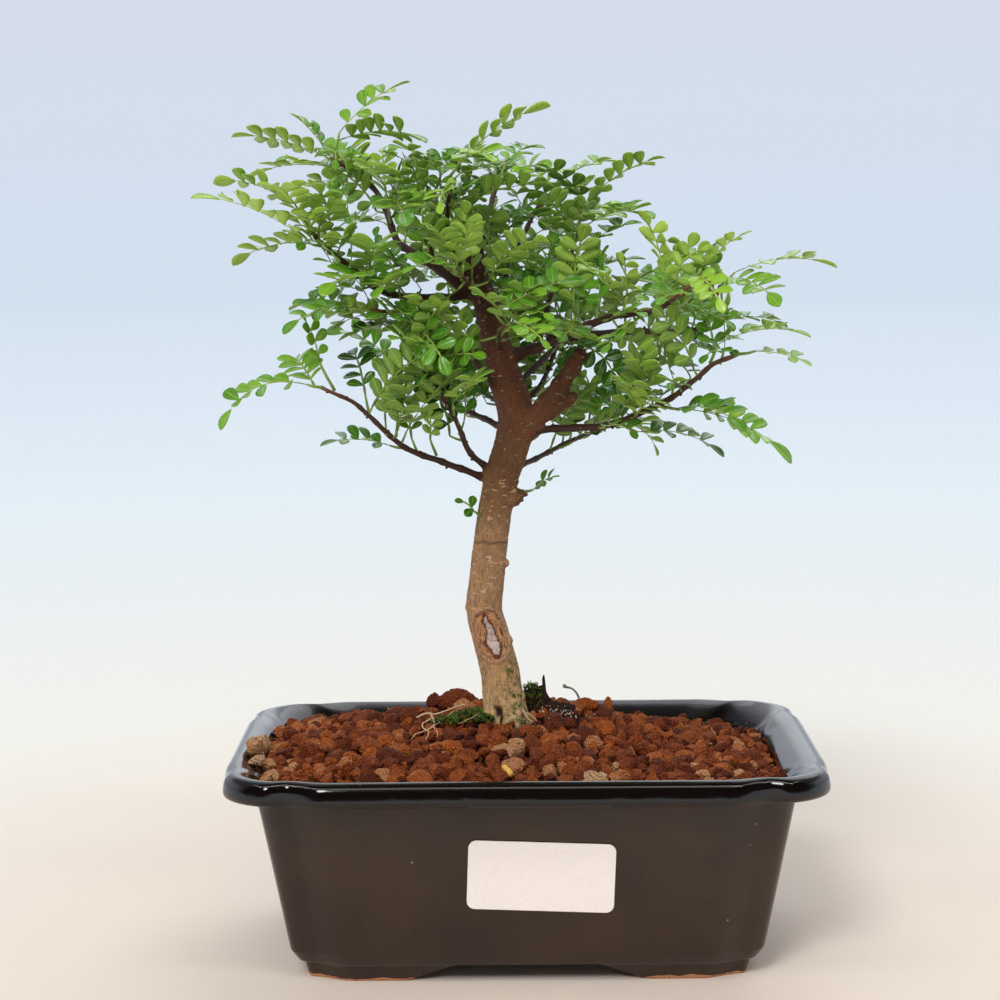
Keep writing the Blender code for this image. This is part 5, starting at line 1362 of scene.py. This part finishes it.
def makeStalks():
    batch = newBatch()
    rows = smoothPath([(-6.6, -43, 63.6, 0.9), (-5.6, -46.5, 63.3, 0.95), (-4.5, -50, 62.9, 0.85)], 0.8)
    ringTube(batch, rows, 8, 0.9)
    dress(batchThing("strawBit", batch), [plainGrowth("dryStraw", "B97A22", "E7B14E", 1.5)])
    batch = newBatch()
    rows = smoothPath([(6.4, 8, 74.5, 0.75), (6.2, 8, 77.5, 0.6), (6.0, 8, 80.6, 0.5), (6.1, 8, 81.6, 0.2)], 0.8)
    ringTube(batch, rows, 6, 0.05)
    rows = smoothPath([(17.3, 14, 73.0, 0.35), (16.4, 14, 74.8, 0.33), (14.8, 14, 76.2, 0.3), (13.2, 14, 76.6, 0.45),
                       (12.6, 14, 77.0, 0.7), (12.2, 14, 77.2, 0.2)], 0.6)
    ringTube(batch, rows, 6, 0.75)
    dress(batchThing("deadSprigs", batch), [plainGrowth("deadStalk", "1E1A16", "7F8A6C", 1.5)])


scrapChance = random.Random(8)
makeClods(scrapChance)
makeRootlets(scrapChance)
makeMoss(scrapChance)
makeStalks()
print("moss and scraps made")

sticker = {
    "width": 43, "height": 21, "thick": 0.22, "corner": 2.4, "edge": 0.05, "x": 4, "z": 33.2, "turn": -2.2,
    "wallLow": (8.8, 50.0), "wallHigh": (52.0, 54.0), "off": 0.35,  # the wall's heights and half depths
}


def makeSticker():
    (lowZ, lowY), (highZ, highY) = sticker["wallLow"], sticker["wallHigh"]
    lean = math.atan2(highY - lowY, highZ - lowZ)
    wallY = -(lowY + (sticker["z"] - lowZ) * math.tan(lean)) - sticker["off"]
    label = addShape(bpy.ops.mesh.primitive_plane_add, size=1)
    label.name = "blankSticker"
    for vert in label.data.vertices:
        vert.co = Vector((vert.co.x * sticker["width"], vert.co.y * sticker["height"], 0)) * mm
    bpy.ops.object.mode_set(mode="EDIT")
    bpy.ops.mesh.select_all(action="SELECT")
    bpy.ops.mesh.bevel(offset=sticker["corner"] * mm, segments=8, affect="VERTICES")
    bpy.ops.object.mode_set(mode="OBJECT")
    turn = Matrix.Rotation(lean, 4, "X") @ Matrix.Rotation(math.radians(-sticker["turn"]), 4, "Y") \
        @ Matrix.Rotation(math.pi / 2, 4, "X")
    label.matrix_world = Matrix.Translation(Vector((sticker["x"], wallY, sticker["z"])) * mm) @ turn
    wall = label.modifiers.new("paper", "SOLIDIFY")
    wall.thickness, wall.offset = sticker["thick"] * mm, 1
    edge = label.modifiers.new("edge", "BEVEL")
    edge.width, edge.segments, edge.limit_method = sticker["edge"] * mm, 2, "ANGLE"
    applyAll(label)
    dress(label, [stickerPaper()], ["sticker"])


makeSticker()

stage = {
    "floorRadius": 40000, "floorReach": 6.5,  # the paper's shades, by the share of this reach in metres
    "paper": [(0.0, "F1E1D3"), (0.023, "EEE0D2"), (0.06, "F0EFE7"), (0.108, "ECF0EF"), (0.19, "E8F3F8"),
              (0.365, "E2EFF9"), (1.0, "D8E6F4")],
    "horizon": "D3E0EF", "skyLow": "D5DCEA",
    "wall": "EEF4FC", "room": "8F949C", "dark": "201D1B",  # outside the view, seen only in the glaze and the leaves
    # Soft boxes: direction, inner and outer half angle in degrees, sRGB colour, strength
    "softBoxes": [((0.1, 0.70, 0.71), 22, 36, "F4F8FF", 0.85), ((0.0, 0.95, 0.31), 4, 12, "F4F8FF", 0.4)],
    "strip": [0.76, 0.78, 0.83, 0.85], "stripLight": 2.8,  # a long soft light above the camera: sines of its heights
    "tube": ((-0.1, -0.75, 1.45), (2.4, 0.07), 6.0),  # a long lamp: place and size in metres, watts
    "suns": [("keySun", (46, -22, 0), 1.45, 18), ("fillSun", (-38, 18, 0), 0.35, 40),
             ("frontSun", (76, -8, 0), 0.36, 40)],
    "pitch": 6.36, "roll": -0.43, "lens": 2488 * 36 / 1000,
}


def makeFloor():
    floor = addShape(bpy.ops.mesh.primitive_circle_add, vertices=128, radius=stage["floorRadius"] * mm,
                     fill_type="NGON")
    floor.name = "studioFloor"
    material, tree, place = newMaterial("studioPaper", Roughness=0.9)
    reach = addNode(tree, "VectorMath", {0: place}, operation="LENGTH").outputs["Value"]
    share = addNode(tree, "MapRange", {0: reach, 1: 0.0, 2: stage["floorReach"]})
    colour = addNode(tree, "ValToRGB", {0: share}, stops=stage["paper"])
    floor.data.materials.append(finished(material, colour))


def makeSky():
    eased = {"interpolation_type": "SMOOTHSTEP"}
    world = bpy.data.worlds.new("studioSky")
    bpy.context.scene.world = world
    world.use_nodes = True
    tree = world.node_tree
    tree.nodes.clear()
    way = addNode(tree, "TexCoord").outputs["Generated"]
    parts = addNode(tree, "SeparateXYZ", {0: way})
    up = parts.outputs["Z"]
    backdrop = addNode(tree, "ValToRGB", {0: addNode(tree, "MapRange", {0: up, 1: 0.0, 2: 0.5})}, stops=[
        (0.0, stage["horizon"]), (0.17, stage["skyLow"]), (0.34, stage["wall"]), (0.8, stage["wall"]),
        (1.0, stage["room"])])
    behind = addNode(tree, "MapRange", {0: parts.outputs["Y"], 1: 0.25, 2: -0.25}, **eased)
    room = addNode(tree, "MixRGB", {0: behind, 1: backdrop, 2: srgb(stage["dark"])})
    low, lowFull, highFull, high = stage["strip"]
    above = addNode(tree, "MapRange", {0: up, 1: low, 2: lowFull, 4: stage["stripLight"]}, **eased)
    under = addNode(tree, "MapRange", {0: up, 1: high, 2: highFull}, **eased)
    lamp = addNode(tree, "Math", {0: above, 1: addNode(tree, "Math", {0: under, 1: behind}, operation="MULTIPLY")},
                   operation="MULTIPLY")
    strip = addNode(tree, "VectorMath", {0: srgb("FFF8F0")[:3]}, operation="SCALE")
    tree.links.new(lamp.outputs[0], strip.inputs["Scale"])
    sky = addNode(tree, "VectorMath", {0: room, 1: strip}, operation="ADD")
    for direction, inner, outer, shade, strength in stage["softBoxes"]:
        facing = addNode(tree, "VectorMath", {0: way, 1: Vector(direction).normalized()}, operation="DOT_PRODUCT")
        near = addNode(tree, "MapRange", {0: facing.outputs["Value"], 1: math.cos(math.radians(outer)),
                                          2: math.cos(math.radians(inner)), 4: strength}, **eased)
        glow = addNode(tree, "VectorMath", {0: srgb(shade)[:3]}, operation="SCALE")
        tree.links.new(near.outputs[0], glow.inputs["Scale"])
        sky = addNode(tree, "VectorMath", {0: sky, 1: glow}, operation="ADD")
    light = addNode(tree, "Background", {0: sky, 1: 1.0})
    addNode(tree, "OutputWorld", {0: light})


def makeLights():
    for name, turn, strength, angle in stage["suns"]:
        lamp = bpy.data.lights.new(name, "SUN")
        lamp.energy, lamp.angle = strength, math.radians(angle)
        thing = bpy.data.objects.new(name, lamp)
        thing.rotation_euler = [math.radians(part) for part in turn]
        thing.visible_glossy = name != "frontSun"  # it lights the front and leaves no highlight
        bpy.context.scene.collection.objects.link(thing)

    place, size, watts = stage["tube"]
    lamp = bpy.data.lights.new("tubeLamp", "AREA")
    lamp.shape, lamp.size, lamp.size_y, lamp.energy = "RECTANGLE", *size, watts
    tube = bpy.data.objects.new("tubeLamp", lamp)
    tube.location = place
    tube.rotation_euler = (-Vector(place)).to_track_quat("-Z", "Y").to_euler()
    bpy.context.scene.collection.objects.link(tube)


def makeCamera():
    lens = bpy.data.cameras.new("camera")
    lens.lens, lens.sensor_width = stage["lens"], 36
    lens.clip_start, lens.clip_end = 0.01, 100
    eye = bpy.data.objects.new("camera", lens)
    tilt = Matrix.Rotation(math.radians(90 - stage["pitch"]), 4, "X")
    eye.matrix_world = Matrix.Translation(Vector(extra["eye"]) * mm) @ tilt \
        @ Matrix.Rotation(math.radians(stage["roll"]), 4, "Z")
    bpy.context.scene.collection.objects.link(eye)
    bpy.context.scene.camera = eye
    bpy.context.scene.view_settings.view_transform = "Standard"


makeFloor()
makeSky()
makeLights()
makeCamera()
print("stage made")
